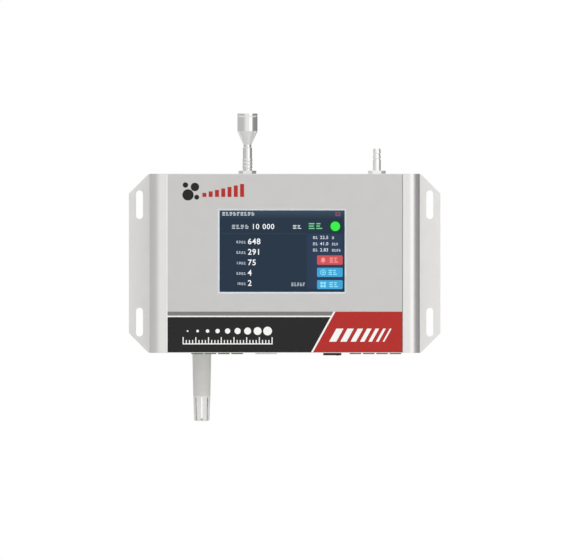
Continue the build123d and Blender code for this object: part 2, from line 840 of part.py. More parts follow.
with BuildPart() as laser_module:
    # barrel in the block and a wider collar against its side
    laser_end = -sensor_width / 2 + laser_seat
    collar_face = -sensor_width / 2
    turn(sensor_origin, RIGHT, [
        (0, laser_end - laser_length), (laser_radius, laser_end - laser_length),
        (laser_barrel_radius, laser_end - laser_length + 1.5), (laser_barrel_radius, collar_face),
        (laser_radius, collar_face), (laser_radius, laser_end), (0, laser_end),
    ])
save(laser_module, "laser_module")

with BuildPart() as light_trap:
    trap_face = sensor_width / 2
    turn(sensor_origin, RIGHT, [
        (0, trap_face - 1.5), (trap_radius - 1.5, trap_face - trap_seat + seat_spare),
        (trap_radius, trap_face - trap_seat + seat_spare), (trap_radius, trap_face),
        (trap_radius + 1.2, trap_face), (trap_radius + 1.2, trap_face + trap_length - trap_seat),
        (0, trap_face + trap_length - trap_seat),
    ])
save(light_trap, "light_trap")

with BuildPart() as detector_board:
    block(
        inlet_x - detector_width / 2, inlet_x + detector_width / 2,
        sensor_front, sensor_front + board_thickness,
        sensor_middle_z - detector_width / 2, sensor_middle_z + detector_width / 2,
    )
    rod(sensor_origin, OUT, detector_can_radius, sensor_block_depth / 2 - detector_can_length,
        sensor_block_depth / 2)
save(detector_board, "detector_board")


def sensor_jet(direction):
    """A turned jet: spigot in the block, flange on its face and a hose nipple."""
    face = sensor_height / 2
    tip = face + jet_length
    turn(sensor_origin, direction, [
        (air_bore_radius, face - jet_spigot + seat_spare), (jet_radius, face - jet_spigot + seat_spare),
        (jet_radius, face), (jet_flange_radius, face), (jet_flange_radius, face + jet_flange),
        *nipple_profile(face + jet_flange, tip),
    ])


with BuildPart() as inlet_jet:
    sensor_jet(UP)
save(inlet_jet, "inlet_jet")

with BuildPart() as outlet_jet:
    sensor_jet(DOWN)
save(outlet_jet, "outlet_jet")

with BuildPart() as sensor_spacers:
    for x, z in spacer_holes:
        turn((x, 0, z), OUT, [
            (csk_radius + screw_gap, sheet), (spacer_radius, sheet), (spacer_radius, sensor_back),
            (spacer_stud_radius, sensor_back), (spacer_stud_radius, sensor_back + spacer_stud_length),
            (0, sensor_back + spacer_stud_length), (0, spacer_screw_length + thread_spare),
            (csk_radius + screw_gap, spacer_screw_length + thread_spare),
        ])
save(sensor_spacers, "sensor_spacers")

# ================================================================ blower
blower_origin = (inlet_x, -port_depth, 0)
duct_end_x = inlet_x + duct_reach

with BuildPart() as blower_housing:
    # snail-shaped cup: a round chamber with a tangential outlet duct
    with BuildSketch(Plane.XY.offset(blower_base_z)) as snail:
        with Locations((inlet_x, -port_depth)):
            Circle(blower_radius)
        with Locations((inlet_x + duct_reach / 2, -duct_depth)):
            Rectangle(duct_reach, duct_width)
    extrude(amount=blower_height)
    with BuildSketch(Plane.XY.offset(blower_base_z + blower_wall)):
        offset(snail.sketch, amount=-blower_wall, kind=Kind.INTERSECTION)
    extrude(amount=blower_height, mode=Mode.SUBTRACT)
    rod(blower_origin, UP, motor_boss_radius + seat_gap, blower_base_z, blower_base_z + blower_wall,
        Mode.SUBTRACT)
    # outlet nipple on the end of the duct
    duct_origin = (duct_end_x, -duct_depth, duct_z)
    turn(duct_origin, RIGHT, [(air_bore_radius, 0), *nipple_profile(0, nipple_length)])
    rod(duct_origin, RIGHT, air_bore_radius, -blower_wall - 0.5, nipple_length, Mode.SUBTRACT)
save(blower_housing, "blower_housing")

with BuildPart() as blower_cover:
    with BuildSketch(Plane.XY.offset(blower_top_z)):
        add(snail.sketch.moved(Location((0, 0, blower_height))))
    extrude(amount=blower_cover_thickness)
    turn(blower_origin, UP, [
        (air_bore_radius, blower_cover_z), *nipple_profile(blower_cover_z, blower_cover_z + nipple_length),
    ])
    rod(blower_origin, UP, air_bore_radius, blower_top_z, blower_cover_z + nipple_length, Mode.SUBTRACT)
save(blower_cover, "blower_cover")

impeller_base_z = blower_base_z + blower_wall + impeller_lift
impeller_top_z = impeller_base_z + impeller_height

# one blade, leaning back on its way from the eye to the rim
blade_tip_radius = impeller_radius - blade_thickness
blade_angle = radians(blade_sweep)
with BuildSketch() as blade:
    blade_end = (blade_tip_radius * cos(blade_angle), blade_tip_radius * sin(blade_angle))
    SlotArc(RadiusArc((eye_radius, 0), blade_end, blade_tip_radius, mode=Mode.PRIVATE), blade_thickness)

with BuildPart() as blower_impeller:
    turn(blower_origin, UP, [
        (shaft_radius, impeller_base_z), (impeller_radius, impeller_base_z),
        (impeller_radius, impeller_base_z + impeller_disc), (eye_radius, impeller_base_z + impeller_disc),
        (impeller_hub_radius, impeller_base_z + 0.45 * impeller_height),
        (shaft_radius + 0.8, impeller_base_z + 0.7 * impeller_height),
        (shaft_radius, impeller_base_z + 0.7 * impeller_height),
    ])
    with BuildSketch(Plane.XY.offset(impeller_base_z + impeller_disc / 2)):
        with Locations((inlet_x, -port_depth)):
            with PolarLocations(0, blade_count):
                add(blade.sketch)
    extrude(amount=impeller_height - impeller_disc / 2)
save(blower_impeller, "blower_impeller")

with BuildPart() as motor_shaft:
    shaft_top = impeller_base_z + 0.7 * impeller_height
    rod(blower_origin, UP, shaft_radius, blower_base_z - 0.6 * motor_height, shaft_top)
save(motor_shaft, "motor_shaft")

with BuildPart() as blower_motor:
    motor_base_z = blower_base_z - motor_height
    turn(blower_origin, UP, [
        (shaft_radius + shaft_gap, blower_base_z - 0.6 * motor_height),
        (0, blower_base_z - 0.6 * motor_height), (0, motor_base_z), (motor_radius - 1.0, motor_base_z),
        (motor_radius, motor_base_z + 1.0), (motor_radius, blower_base_z), (motor_boss_radius, blower_base_z),
        (motor_boss_radius, blower_base_z + motor_boss_height),
        (shaft_radius + shaft_gap, blower_base_z + motor_boss_height),
    ])
save(blower_motor, "blower_motor")

with BuildPart() as blower_bracket:
    # bent plate: a shelf under the blower and a leg down the back wall
    shelf_front = port_depth + motor_radius + 3
    shelf_base_z = blower_base_z - bracket_sheet
    with BuildSketch(Plane.YZ.offset(inlet_x)):
        with BuildLine():
            FilletPolyline(
                (-shelf_front, blower_base_z), (-sheet, blower_base_z), (-sheet, blower_base_z - bracket_leg),
                radius=bracket_sheet + bend_radius,
            )
            FilletPolyline(
                (-shelf_front, shelf_base_z), (-sheet - bracket_sheet, shelf_base_z),
                (-sheet - bracket_sheet, blower_base_z - bracket_leg),
                radius=bend_radius,
            )
            Line((-shelf_front, blower_base_z), (-shelf_front, shelf_base_z))
            Line((-sheet, blower_base_z - bracket_leg), (-sheet - bracket_sheet, blower_base_z - bracket_leg))
        make_face()
    extrude(amount=bracket_width / 2, both=True)
    rod(blower_origin, UP, motor_radius + seat_gap, shelf_base_z, blower_base_z, Mode.SUBTRACT)
    # riveted nuts that take the screws through the back wall
    for x, z in bracket_holes:
        rod((x, 0, z), OUT, insert_radius, sheet, sheet + insert_length + 1)
        rod((x, 0, z), OUT, csk_radius + screw_gap, sheet, sheet + insert_length + 1, Mode.SUBTRACT)
save(blower_bracket, "blower_bracket")


# ================================================================ exhaust filter and hoses
filter_origin = (exhaust_x, -port_depth, 0)

with BuildPart() as exhaust_filter:
    end = filter_rim_height
    lower_tip = filter_base_z - nipple_length
    upper_tip = filter_top_z + nipple_length
    turn(filter_origin, UP, [
        (air_bore_radius, upper_tip), (air_bore_radius, lower_tip),
        *nipple_profile(filter_base_z, lower_tip)[-2:0:-1], (nipple_radius - nipple_bead, filter_base_z),
        (filter_radius - 1, filter_base_z), (filter_radius, filter_base_z + 1),
        (filter_radius, filter_base_z + end), (filter_radius - filter_rim, filter_base_z + end),
        (filter_radius - filter_rim, filter_top_z - end), (filter_radius, filter_top_z - end),
        (filter_radius, filter_top_z - 1), (filter_radius - 1, filter_top_z),
        *nipple_profile(filter_top_z, upper_tip)[:-1],
    ])
save(exhaust_filter, "exhaust_filter")

with BuildPart() as filter_clip:
    # open ring around the filter, on a foot screwed to the back wall
    clip_inner = filter_radius - filter_rim + clip_gap
    clip_outer = clip_inner + clip_wall
    with BuildSketch(Plane.XY.offset(filter_middle_z - clip_width / 2)):
        with Locations((exhaust_x, -port_depth)):
            Circle(clip_outer)
        with Locations((exhaust_x, -(sheet + port_depth) / 2)):
            Rectangle(clip_foot_width, port_depth - sheet)
        with Locations((exhaust_x, -port_depth)):
            Circle(clip_inner, mode=Mode.SUBTRACT)
        # mouth of the ring, towards the front
        mouth = radians(clip_opening / 2)
        edge_x = 2 * clip_outer * sin(mouth)
        edge_y = 2 * clip_outer * cos(mouth)
        with BuildLine():
            Polyline(
                (exhaust_x, -port_depth), (exhaust_x + edge_x, -port_depth - edge_y),
                (exhaust_x - edge_x, -port_depth - edge_y), close=True,
            )
        make_face(mode=Mode.SUBTRACT)
    extrude(amount=clip_width)
    with BuildSketch(wall_plane(sheet)):
        with Locations((exhaust_x, filter_middle_z)):
            RectangleRounded(clip_foot_width, clip_foot_height, 2)
    extrude(amount=clip_foot_thickness)
    for x, z in clip_holes:
        rod((x, 0, z), OUT, csk_radius + screw_gap, sheet, sheet + clip_foot_thickness, Mode.SUBTRACT)
save(filter_clip, "filter_clip")


def straight_hose(x, low, high):
    """A hose pushed over two nipples that face each other on the vertical axis at x."""
    tube((x, -port_depth, 0), UP, nipple_radius + hose_gap, hose_radius,
         low + hose_end_gap, high - hose_end_gap)


with BuildPart() as sample_hose:
    straight_hose(inlet_x, sensor_top_z + jet_flange, half_height - port_thread_length)
save(sample_hose, "sample_hose")

with BuildPart() as transfer_hose:
    straight_hose(inlet_x, blower_cover_z, sensor_base_z - jet_flange)
save(transfer_hose, "transfer_hose")

with BuildPart() as exhaust_hose:
    straight_hose(exhaust_x, filter_top_z, half_height - port_thread_length)
save(exhaust_hose, "exhaust_hose")

with BuildPart() as filter_hose:
    # from the blower's duct, gently forward and then up to the filter
    with BuildLine() as route:
        FilletPolyline(
            (duct_end_x + hose_end_gap, -duct_depth, duct_z), (hose_turn_x, -duct_depth, duct_z),
            (exhaust_x, -port_depth, duct_z), (exhaust_x, -port_depth, filter_base_z - hose_end_gap),
            radius=[hose_first_bend, hose_last_bend],
        )
    with BuildSketch(Plane(origin=route.line @ 0, z_dir=route.line % 0)):
        Circle(hose_radius)
        Circle(nipple_radius + hose_gap, mode=Mode.SUBTRACT)
    sweep(path=route.line)
save(filter_hose, "filter_hose")


# ================================================================ main board and connectors
with BuildPart() as main_board:
    with BuildSketch(wall_plane(main_board_back)):
        with Locations((0, board_base_z + main_board_height / 2)):
            RectangleRounded(main_board_width, main_board_height, 2)
        with Locations(*board_holes):
            Circle(csk_radius + screw_gap, mode=Mode.SUBTRACT)
    extrude(amount=board_thickness)
save(main_board, "main_board")

with BuildPart() as board_standoffs:
    for x, z in board_holes:
        hexagon((x, 0, z), OUT, 2 * standoff_radius, sheet, main_board_back)
        rod((x, 0, z), OUT, csk_radius + screw_gap, sheet, chassis_screw_length + thread_spare, Mode.SUBTRACT)
        rod((x, 0, z), OUT, pan_radius + screw_gap, main_board_back - pan_screw_length, main_board_back,
            Mode.SUBTRACT)
save(board_standoffs, "board_standoffs")

with BuildPart() as board_screws:
    for x, z in board_holes:
        pan_screw((x, -main_board_depth, z), IN, pan_screw_length)
save(board_screws, "board_screws")


def terminal_spots(group_x):
    """Middles of the terminal blocks in a group, from left to right."""
    return [group_x + (index - (terminal_count - 1) / 2) * terminal_pitch for index in range(terminal_count)]


def pin_spots(x):
    return (x - terminal_poles / 2, x + terminal_poles / 2)


mouth_floor_z = terminal_base_z + terminal_mouth
terminal_xs = terminal_spots(left_terminals_x) + terminal_spots(right_terminals_x)

for number, x in enumerate(terminal_xs):
    with BuildPart() as terminal_block:
        with BuildSketch(Plane.XY.offset(terminal_base_z)):
            with Locations((x, -terminal_depth)):
                RectangleRounded(terminal_width, terminal_height, 0.4)
        extrude(amount=terminal_length)
        with BuildSketch(Plane.XY.offset(terminal_base_z)):
            with Locations((x, -terminal_depth)):
                Rectangle(terminal_width - 2 * terminal_wall, terminal_height - 2 * terminal_wall)
        extrude(amount=terminal_mouth, mode=Mode.SUBTRACT)
        with BuildSketch(Plane.XY.offset(mouth_floor_z)):
            with Locations(*[(pin_x, -terminal_depth) for pin_x in pin_spots(x)]):
                Rectangle(terminal_pin, terminal_pin)
        extrude(amount=terminal_length - terminal_mouth, mode=Mode.SUBTRACT)
    save(terminal_block, f"terminal_block_{number + 1}")

with BuildPart() as terminal_pins:
    # bent pins: straight through the block, then down onto the board
    half_pin = terminal_pin / 2
    pin_tip_z = mouth_floor_z - terminal_pin_length
    for x in terminal_xs:
        for pin_x in pin_spots(x):
            with BuildSketch(Plane.YZ.offset(pin_x)) as pin:
                with BuildLine():
                    Polyline(
                        (-terminal_depth - half_pin, pin_tip_z), (-terminal_depth - half_pin, pin_end_z),
                        (-main_board_depth, pin_end_z), (-main_board_depth, pin_end_z - terminal_pin),
                        (-terminal_depth + half_pin, pin_end_z - terminal_pin),
                        (-terminal_depth + half_pin, pin_tip_z), close=True,
                    )
                make_face()
            extrude(amount=half_pin, both=True)
save(terminal_pins, "terminal_pins")

with BuildPart() as ethernet_shield:
    with BuildSketch(Plane.XY.offset(jack_base_z)):
        with Locations((jack_x, -jack_depth)):
            Rectangle(jack_width, jack_height)
    extrude(amount=jack_length)
    offset(amount=-jack_shell, openings=ethernet_shield.faces().sort_by(Axis.Z)[0])
save(ethernet_shield, "ethernet_shield")

with BuildPart() as ethernet_insert:
    # moulded body inside the shield, with the plug's mouth and its latch notch
    with BuildSketch(Plane.XY.offset(jack_base_z)):
        with Locations((jack_x, -jack_depth)):
            Rectangle(jack_width - 2 * jack_shell, jack_height - 2 * jack_shell)
    extrude(amount=jack_length - jack_shell)
    with BuildSketch(Plane.XY.offset(jack_base_z)):
        with Locations((jack_x, -jack_depth)):
            Rectangle(jack_mouth_width, jack_mouth_height)
        with Locations((jack_x, -jack_depth - jack_mouth_height / 2)):
            Rectangle(jack_latch_width, 2 * jack_latch_height)
    extrude(amount=jack_mouth_depth, mode=Mode.SUBTRACT)
save(ethernet_insert, "ethernet_insert")

with BuildPart() as ethernet_contacts:
    # sprung contacts along the side of the mouth that faces the board
    contact_back = -jack_depth + jack_mouth_height / 2
    contact_top_z = jack_base_z + jack_mouth_depth
    for index in range(jack_contact_count):
        x = jack_x + (index - (jack_contact_count - 1) / 2) * jack_contact_pitch
        with BuildSketch(Plane.YZ.offset(x)) as contact:
            with BuildLine():
                Polyline(
                    (contact_back, contact_top_z), (contact_back - jack_contact_height, contact_top_z),
                    (contact_back, contact_top_z - jack_contact_length), close=True,
                )
            make_face()
        extrude(amount=jack_contact_width / 2, both=True)
save(ethernet_contacts, "ethernet_contacts")


# ================================================================ power switch
well_top_z = switch_face_z + switch_body_height - switch_floor

with BuildPart() as switch_frame:
    # bezel under the flange and the body that snaps through it
    with BuildSketch(Plane.XY.offset(switch_face_z)):
        with Locations((switch_x, -switch_depth)):
            RectangleRounded(switch_width, switch_breadth, 1.0)
    extrude(amount=switch_bezel)
    with BuildSketch(Plane.XY.offset(-half_height)):
        with Locations((switch_x, -switch_depth)):
            Rectangle(switch_body_length, switch_body_breadth)
    extrude(amount=switch_body_height - switch_bezel)
    with BuildSketch(Plane.XY.offset(switch_face_z)):
        with Locations((switch_x, -switch_depth)):
            Rectangle(switch_well_length, switch_well_breadth)
    extrude(amount=switch_body_height - switch_floor, mode=Mode.SUBTRACT)
    # bearing holes for the rocker's pivots
    pivot_span = switch_well_breadth / 2 - rocker_gap + pivot_length + pivot_gap
    rod((switch_x, -switch_depth, pivot_z), OUT, pivot_radius + pivot_gap, -pivot_span, pivot_span,
        Mode.SUBTRACT)
save(switch_frame, "switch_frame")

with BuildPart() as switch_rocker:
    # drawn level, then tipped to the position it rests in
    rocker_radius = switch_well_length / 2 - rocker_gap
    rocker_half_breadth = switch_well_breadth / 2 - rocker_gap
    face_drop = pivot_drop - rocker_face_rise
    tilt = radians(rocker_tilt)
    tipped = Plane(
        origin=(switch_x, -switch_depth, pivot_z), x_dir=(cos(tilt), 0, -sin(tilt)), z_dir=OUT
    )
    face_half = sqrt(rocker_radius**2 - face_drop**2)
    back_half = sqrt(rocker_radius**2 - rocker_back**2)
    with BuildSketch(tipped):
        with BuildLine():
            Polyline((-face_half, -face_drop), (0, rocker_dip - face_drop), (face_half, -face_drop))
            ThreePointArc((face_half, -face_drop), (rocker_radius, 0), (back_half, rocker_back))
            Line((back_half, rocker_back), (-back_half, rocker_back))
            ThreePointArc((-back_half, rocker_back), (-rocker_radius, 0), (-face_half, -face_drop))
        make_face()
    extrude(amount=rocker_half_breadth, both=True)
    reach = rocker_half_breadth + pivot_length
    rod((switch_x, -switch_depth, pivot_z), OUT, pivot_radius, -reach, reach)
save(switch_rocker, "switch_rocker")

with BuildPart() as switch_tabs:
    tab_base_z = switch_face_z + switch_body_height
    for side in (-1, 1):
        x = switch_x + side * tab_spread / 2
        block(x - tab_thickness / 2, x + tab_thickness / 2, switch_depth - tab_width / 2,
              switch_depth + tab_width / 2, tab_base_z, tab_base_z + tab_length)
save(switch_tabs, "switch_tabs")


# ================================================================ temperature and humidity probe
probe_origin = (probe_x, -port_depth, 0)
probe_top_z = -half_height
head_base_z = probe_top_z - probe_head
probe_waist_bore = probe_waist_radius - probe_wall

with BuildPart() as probe_body:
    thread_top = -inner_top + probe_nut_height + probe_thread_spare
    turn(probe_origin, UP, [
        (probe_bore_radius, thread_top), (probe_thread_radius, thread_top),
        (probe_thread_radius, probe_top_z),
        (probe_top_radius, probe_top_z), (probe_waist_radius, probe_waist_z),
        (probe_waist_bore, probe_waist_z), (probe_waist_bore, head_base_z),
        (probe_bore_radius, head_base_z),
    ])
save(probe_body, "probe_body")

with BuildPart() as probe_cap:
    # tapered filter cap: rounded tip, slotted wall and a spigot inside the body
    cap_bore_tip = probe_tip_radius - probe_wall
    spigot_radius = probe_waist_bore - probe_spigot_gap
    spigot_bore = spigot_radius - 0.6 * probe_wall
    with BuildSketch(Plane(origin=probe_origin, x_dir=RIGHT, z_dir=OUT)):
        with BuildLine():
            Polyline(
                (spigot_bore, probe_waist_z + probe_spigot), (spigot_radius, probe_waist_z + probe_spigot),
                (spigot_radius, probe_waist_z), (probe_waist_radius, probe_waist_z),
            )
            FilletPolyline(
                (probe_waist_radius, probe_waist_z), (probe_tip_radius, probe_tip_z), (0, probe_tip_z),
                radius=probe_tip_fillet,
            )
            Polyline(
                (0, probe_tip_z), (0, probe_tip_z + probe_tip_floor),
                (cap_bore_tip, probe_tip_z + probe_tip_floor),
                (spigot_bore, probe_waist_z), (spigot_bore, probe_waist_z + probe_spigot),
            )
        make_face()
    revolve(axis=Axis(probe_origin, UP))
    # the slots cut the wall and the rim of the floor, not the middle of the floor
    slot_high = probe_waist_z - probe_slot_start
    slot_low = probe_tip_z + probe_slot_end
    slot_inner = min(cap_bore_tip, spigot_bore) - probe_slot_width / 4
    for index in range(probe_slot_count):
        angle = radians(index * 360 / probe_slot_count)
        outward = Vector(sin(angle), -cos(angle), 0)
        with BuildSketch(
            Plane(
                origin=Vector(*probe_origin) + outward * slot_inner,
                x_dir=(cos(angle), sin(angle), 0), z_dir=outward,
            )
        ):
            with Locations((0, (slot_high + slot_low) / 2)):
                Rectangle(probe_slot_width, slot_high - slot_low)
        extrude(amount=probe_waist_radius, mode=Mode.SUBTRACT)
save(probe_cap, "probe_cap")

with BuildPart() as probe_nut:
    nut_base = -inner_top
    hexagon(probe_origin, UP, probe_nut_across, nut_base, nut_base + probe_nut_height)
    rod(probe_origin, UP, probe_thread_radius + screw_gap, nut_base, nut_base + probe_nut_height,
        Mode.SUBTRACT)
save(probe_nut, "probe_nut")

with BuildPart() as probe_sensor_board:
    # narrow board hanging from the head of the probe, with the sensing chip at its end above the slots
    strip_base_z = probe_waist_z - probe_slot_start + strip_end_gap
    block(probe_x - strip_width / 2, probe_x + strip_width / 2, port_depth - strip_thickness / 2,
          port_depth + strip_thickness / 2, strip_base_z, head_base_z)
    chip_z = strip_base_z + chip_size
    block(probe_x - chip_size / 2, probe_x + chip_size / 2, port_depth + strip_thickness / 2,
          port_depth + strip_thickness / 2 + chip_height, chip_z - chip_size / 2, chip_z + chip_size / 2)
save(probe_sensor_board, "probe_sensor_board")
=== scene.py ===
"""Looks of the airborne particle counter: finishes for its solids, screen, print, light and camera.

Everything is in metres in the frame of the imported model: the wall at y = 0, the front towards -Y,
+Z up. Lengths that describe the instrument are written in millimetres and turned into metres by mm().
"""

from math import atan2, cos, degrees, pi, radians, sin, tan

import bpy
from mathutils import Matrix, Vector


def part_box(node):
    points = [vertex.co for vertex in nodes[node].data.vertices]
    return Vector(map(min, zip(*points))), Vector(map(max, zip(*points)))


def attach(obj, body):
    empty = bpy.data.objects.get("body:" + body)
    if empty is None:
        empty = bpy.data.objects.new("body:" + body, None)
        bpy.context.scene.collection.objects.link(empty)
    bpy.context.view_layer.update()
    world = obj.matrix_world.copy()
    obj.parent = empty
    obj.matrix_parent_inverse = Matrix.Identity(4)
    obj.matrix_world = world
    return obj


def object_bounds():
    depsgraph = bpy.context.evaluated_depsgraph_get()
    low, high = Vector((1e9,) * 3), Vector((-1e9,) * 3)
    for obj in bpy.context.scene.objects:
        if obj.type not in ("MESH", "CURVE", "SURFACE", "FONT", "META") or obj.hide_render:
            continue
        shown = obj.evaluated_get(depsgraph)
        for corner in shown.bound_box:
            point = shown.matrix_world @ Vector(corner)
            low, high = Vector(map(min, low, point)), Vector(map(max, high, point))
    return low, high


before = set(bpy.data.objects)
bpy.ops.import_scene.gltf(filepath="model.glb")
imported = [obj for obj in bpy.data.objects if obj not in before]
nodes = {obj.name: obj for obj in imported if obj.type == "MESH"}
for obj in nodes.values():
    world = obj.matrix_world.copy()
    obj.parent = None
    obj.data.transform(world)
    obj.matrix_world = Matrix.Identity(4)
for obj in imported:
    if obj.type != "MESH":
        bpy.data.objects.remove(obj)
cad_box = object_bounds()
bpy.ops.object.select_all(action="DESELECT")

INSTRUMENT = "instrument"
ROCKER = "power_rocker"
NOISE_RANGE = (0.3, 0.7)  # where nearly all values of a noise lie


def mm(length):
    return length * 0.001


# ---------------------------------------------------------------- sizes read from the frame
glass_low, glass_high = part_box("touch_glass")
band_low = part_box("dark_band_print")[0]
overlay_low, overlay_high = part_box("front_overlay")
glass_overlap = mm(2.5)  # how far the glass reaches behind the rim around it
screen_left = glass_low[0] + glass_overlap
screen_right = glass_high[0] - glass_overlap
screen_base = glass_low[2] + glass_overlap
screen_top = glass_high[2] - glass_overlap
glass_face = glass_low[1]
print_face = band_low[1]
overlay_face = overlay_low[1]


# ---------------------------------------------------------------- colours and finishes
def linear(red, green, blue):
    """A screen colour (0 to 255) as the linear colour that shaders take."""
    parts = []
    for value in (red, green, blue):
        share = value / 255
        parts.append(share / 12.92 if share <= 0.04045 else ((share + 0.055) / 1.055) ** 2.4)
    return (*parts, 1.0)


def shaded(colour, share):
    """The same linear colour, made lighter or darker by share."""
    return tuple(min(1.0, part * share) for part in colour[:3]) + (1.0,)


class Finish:
    """One node material, built up from a Principled shader and textures on Object coordinates."""

    def __init__(self, name, colour, roughness, metallic=0.0, specular=0.5, coat=0.0, coat_roughness=0.1):
        self.material = bpy.data.materials.new(name)
        self.material.use_nodes = True
        self.tree = self.material.node_tree
        self.shader = self.tree.nodes["Principled BSDF"]
        self.colour = colour
        self.roughness = roughness
        self.shader.inputs["Base Color"].default_value = colour
        self.shader.inputs["Roughness"].default_value = roughness
        self.shader.inputs["Metallic"].default_value = metallic
        self.shader.inputs["Specular IOR Level"].default_value = specular
        self.shader.inputs["Coat Weight"].default_value = coat
        self.shader.inputs["Coat Roughness"].default_value = coat_roughness

    def noise(self, size, stretch=(1.0, 1.0, 1.0), detail=3.0):
        """Noise whose blotches are about size metres across, stretched along the axes."""
        coordinates = self.tree.nodes.new("ShaderNodeTexCoord")
        mapping = self.tree.nodes.new("ShaderNodeMapping")
        mapping.inputs["Scale"].default_value = [1.0 / (size * part) for part in stretch]
        texture = self.tree.nodes.new("ShaderNodeTexNoise")
        texture.inputs["Scale"].default_value = 1.0
        texture.inputs["Detail"].default_value = detail
        self.tree.links.new(coordinates.outputs["Object"], mapping.inputs["Vector"])
        self.tree.links.new(mapping.outputs["Vector"], texture.inputs["Vector"])
        return texture.outputs["Fac"]

    def ramp(self, factor, first, last, low, high):
        """A colour that goes from first to last as factor goes from low to high."""
        ramp = self.tree.nodes.new("ShaderNodeValToRGB")
        ramp.color_ramp.elements[0].position = low
        ramp.color_ramp.elements[1].position = high
        ramp.color_ramp.elements[0].color = first
        ramp.color_ramp.elements[1].color = last
        self.tree.links.new(factor, ramp.inputs["Fac"])
        return ramp.outputs["Color"]

    def mottle(self, factor, spread):
        """Lets the colour wander by spread, up and down, with a noise."""
        darker, lighter = shaded(self.colour, 1 - spread), shaded(self.colour, 1 + spread)
        colour = self.ramp(factor, darker, lighter, *NOISE_RANGE)
        self.tree.links.new(colour, self.shader.inputs["Base Color"])
        return self

    def uneven_gloss(self, factor, spread):
        """Lets the roughness wander by spread with a noise."""
        spreader = self.tree.nodes.new("ShaderNodeMapRange")
        spreader.inputs["From Min"].default_value = NOISE_RANGE[0]
        spreader.inputs["From Max"].default_value = NOISE_RANGE[1]
        spreader.inputs["To Min"].default_value = self.roughness - spread
        spreader.inputs["To Max"].default_value = self.roughness + spread
        self.tree.links.new(factor, spreader.inputs["Value"])
        self.tree.links.new(spreader.outputs["Result"], self.shader.inputs["Roughness"])
        return self

    def grain(self, factor, height, edge=0.0):
        """Raises the surface by a noise, on corners that are rounded by edge metres."""
        bump = self.tree.nodes.new("ShaderNodeBump")
        bump.inputs["Strength"].default_value = 1.0
        bump.inputs["Distance"].default_value = height
        self.tree.links.new(factor, bump.inputs["Height"])
        if edge:
            bevel = self.tree.nodes.new("ShaderNodeBevel")
            bevel.samples = 6
            bevel.inputs["Radius"].default_value = edge
            self.tree.links.new(bevel.outputs["Normal"], bump.inputs["Normal"])
        self.tree.links.new(bump.outputs["Normal"], self.shader.inputs["Normal"])
        return self

    def glow(self, colour, strength=1.0):
        """Lets the surface shine with a colour of its own."""
        self.shader.inputs["Emission Color"].default_value = colour
        self.shader.inputs["Emission Strength"].default_value = strength
        return self

    def fading_glow(self, low, high, axis, first, last):
        """A glow that goes from first to last between two places along an axis (0, 1 or 2)."""
        coordinates = self.tree.nodes.new("ShaderNodeTexCoord")
        split = self.tree.nodes.new("ShaderNodeSeparateXYZ")
        share = self.tree.nodes.new("ShaderNodeMapRange")
        share.inputs["From Min"].default_value = low
        share.inputs["From Max"].default_value = high
        self.tree.links.new(coordinates.outputs["Object"], split.inputs["Vector"])
        self.tree.links.new(split.outputs[axis], share.inputs["Value"])
        colour = self.ramp(share.outputs["Result"], first, last, 0.0, 1.0)
        self.tree.links.new(colour, self.shader.inputs["Emission Color"])
        self.shader.inputs["Emission Strength"].default_value = 1.0
        return self


def satin_metal(name, colour, roughness=0.36):
    """Blasted and anodised sheet: an even, soft metallic sheen."""
    finish = Finish(name, colour, roughness, metallic=1.0)
    finish.mottle(finish.noise(mm(11)), 0.008)
    finish.uneven_gloss(finish.noise(mm(2.5)), 0.02)
    return finish.grain(finish.noise(mm(0.4), detail=1.0), mm(0.004), edge=mm(0.25))


def silver_paint(name, colour, roughness=0.42):
    """Stoved silver paint with a very fine texture."""
    finish = Finish(name, colour, roughness, metallic=0.85)
    finish.mottle(finish.noise(mm(9)), 0.01)
    finish.uneven_gloss(finish.noise(mm(3)), 0.03)
    return finish.grain(finish.noise(mm(0.5), detail=1.0), mm(0.006), edge=mm(0.25))


def satin_film(name, colour, spread=0.012, specular=0.2):
    """Printed polycarbonate film with a very fine satin surface."""
    finish = Finish(name, colour, 0.46, specular=specular)
    finish.mottle(finish.noise(mm(14)), spread)
    return finish.grain(finish.noise(mm(0.3), detail=1.0), mm(0.004))


def polished_metal(name, colour, roughness=0.17):
    """Turned metal: fine rings round the piece and slightly uneven polish."""
    finish = Finish(name, colour, roughness, metallic=1.0)
    finish.uneven_gloss(finish.noise(mm(0.8), stretch=(9.0, 9.0, 0.35)), 0.04)
    rings = finish.noise(mm(0.6), stretch=(20.0, 20.0, 0.25), detail=2.0)
    return finish.grain(rings, mm(0.0012), edge=mm(0.12))


def plated_metal(name, colour, roughness=0.34):
    """Zinc, tin or nickel plating, a little cloudy."""
    finish = Finish(name, colour, roughness, metallic=1.0)
    finish.mottle(finish.noise(mm(1.6)), 0.06)
    finish.uneven_gloss(finish.noise(mm(0.7)), 0.08)
    return finish.grain(finish.noise(mm(0.25)), mm(0.006), edge=mm(0.08))


def moulded_plastic(name, colour, roughness=0.42, spread=0.03, texture=0.4, specular=0.4):
    """Injection-moulded plastic with a fine eroded skin."""
    finish = Finish(name, colour, roughness, specular=specular)
    finish.mottle(finish.noise(mm(5)), spread)
    finish.uneven_gloss(finish.noise(mm(1.5)), 0.05)
    return finish.grain(finish.noise(mm(texture), detail=2.0), mm(0.012), edge=mm(0.2))


def painted_metal(name, colour, roughness=0.5):
    """Fine-textured matt coating on metal."""
    finish = Finish(name, colour, roughness, specular=0.35)
    finish.mottle(finish.noise(mm(9)), 0.03)
    finish.uneven_gloss(finish.noise(mm(3)), 0.04)
    return finish.grain(finish.noise(mm(0.45), detail=1.0), mm(0.012), edge=mm(0.2))


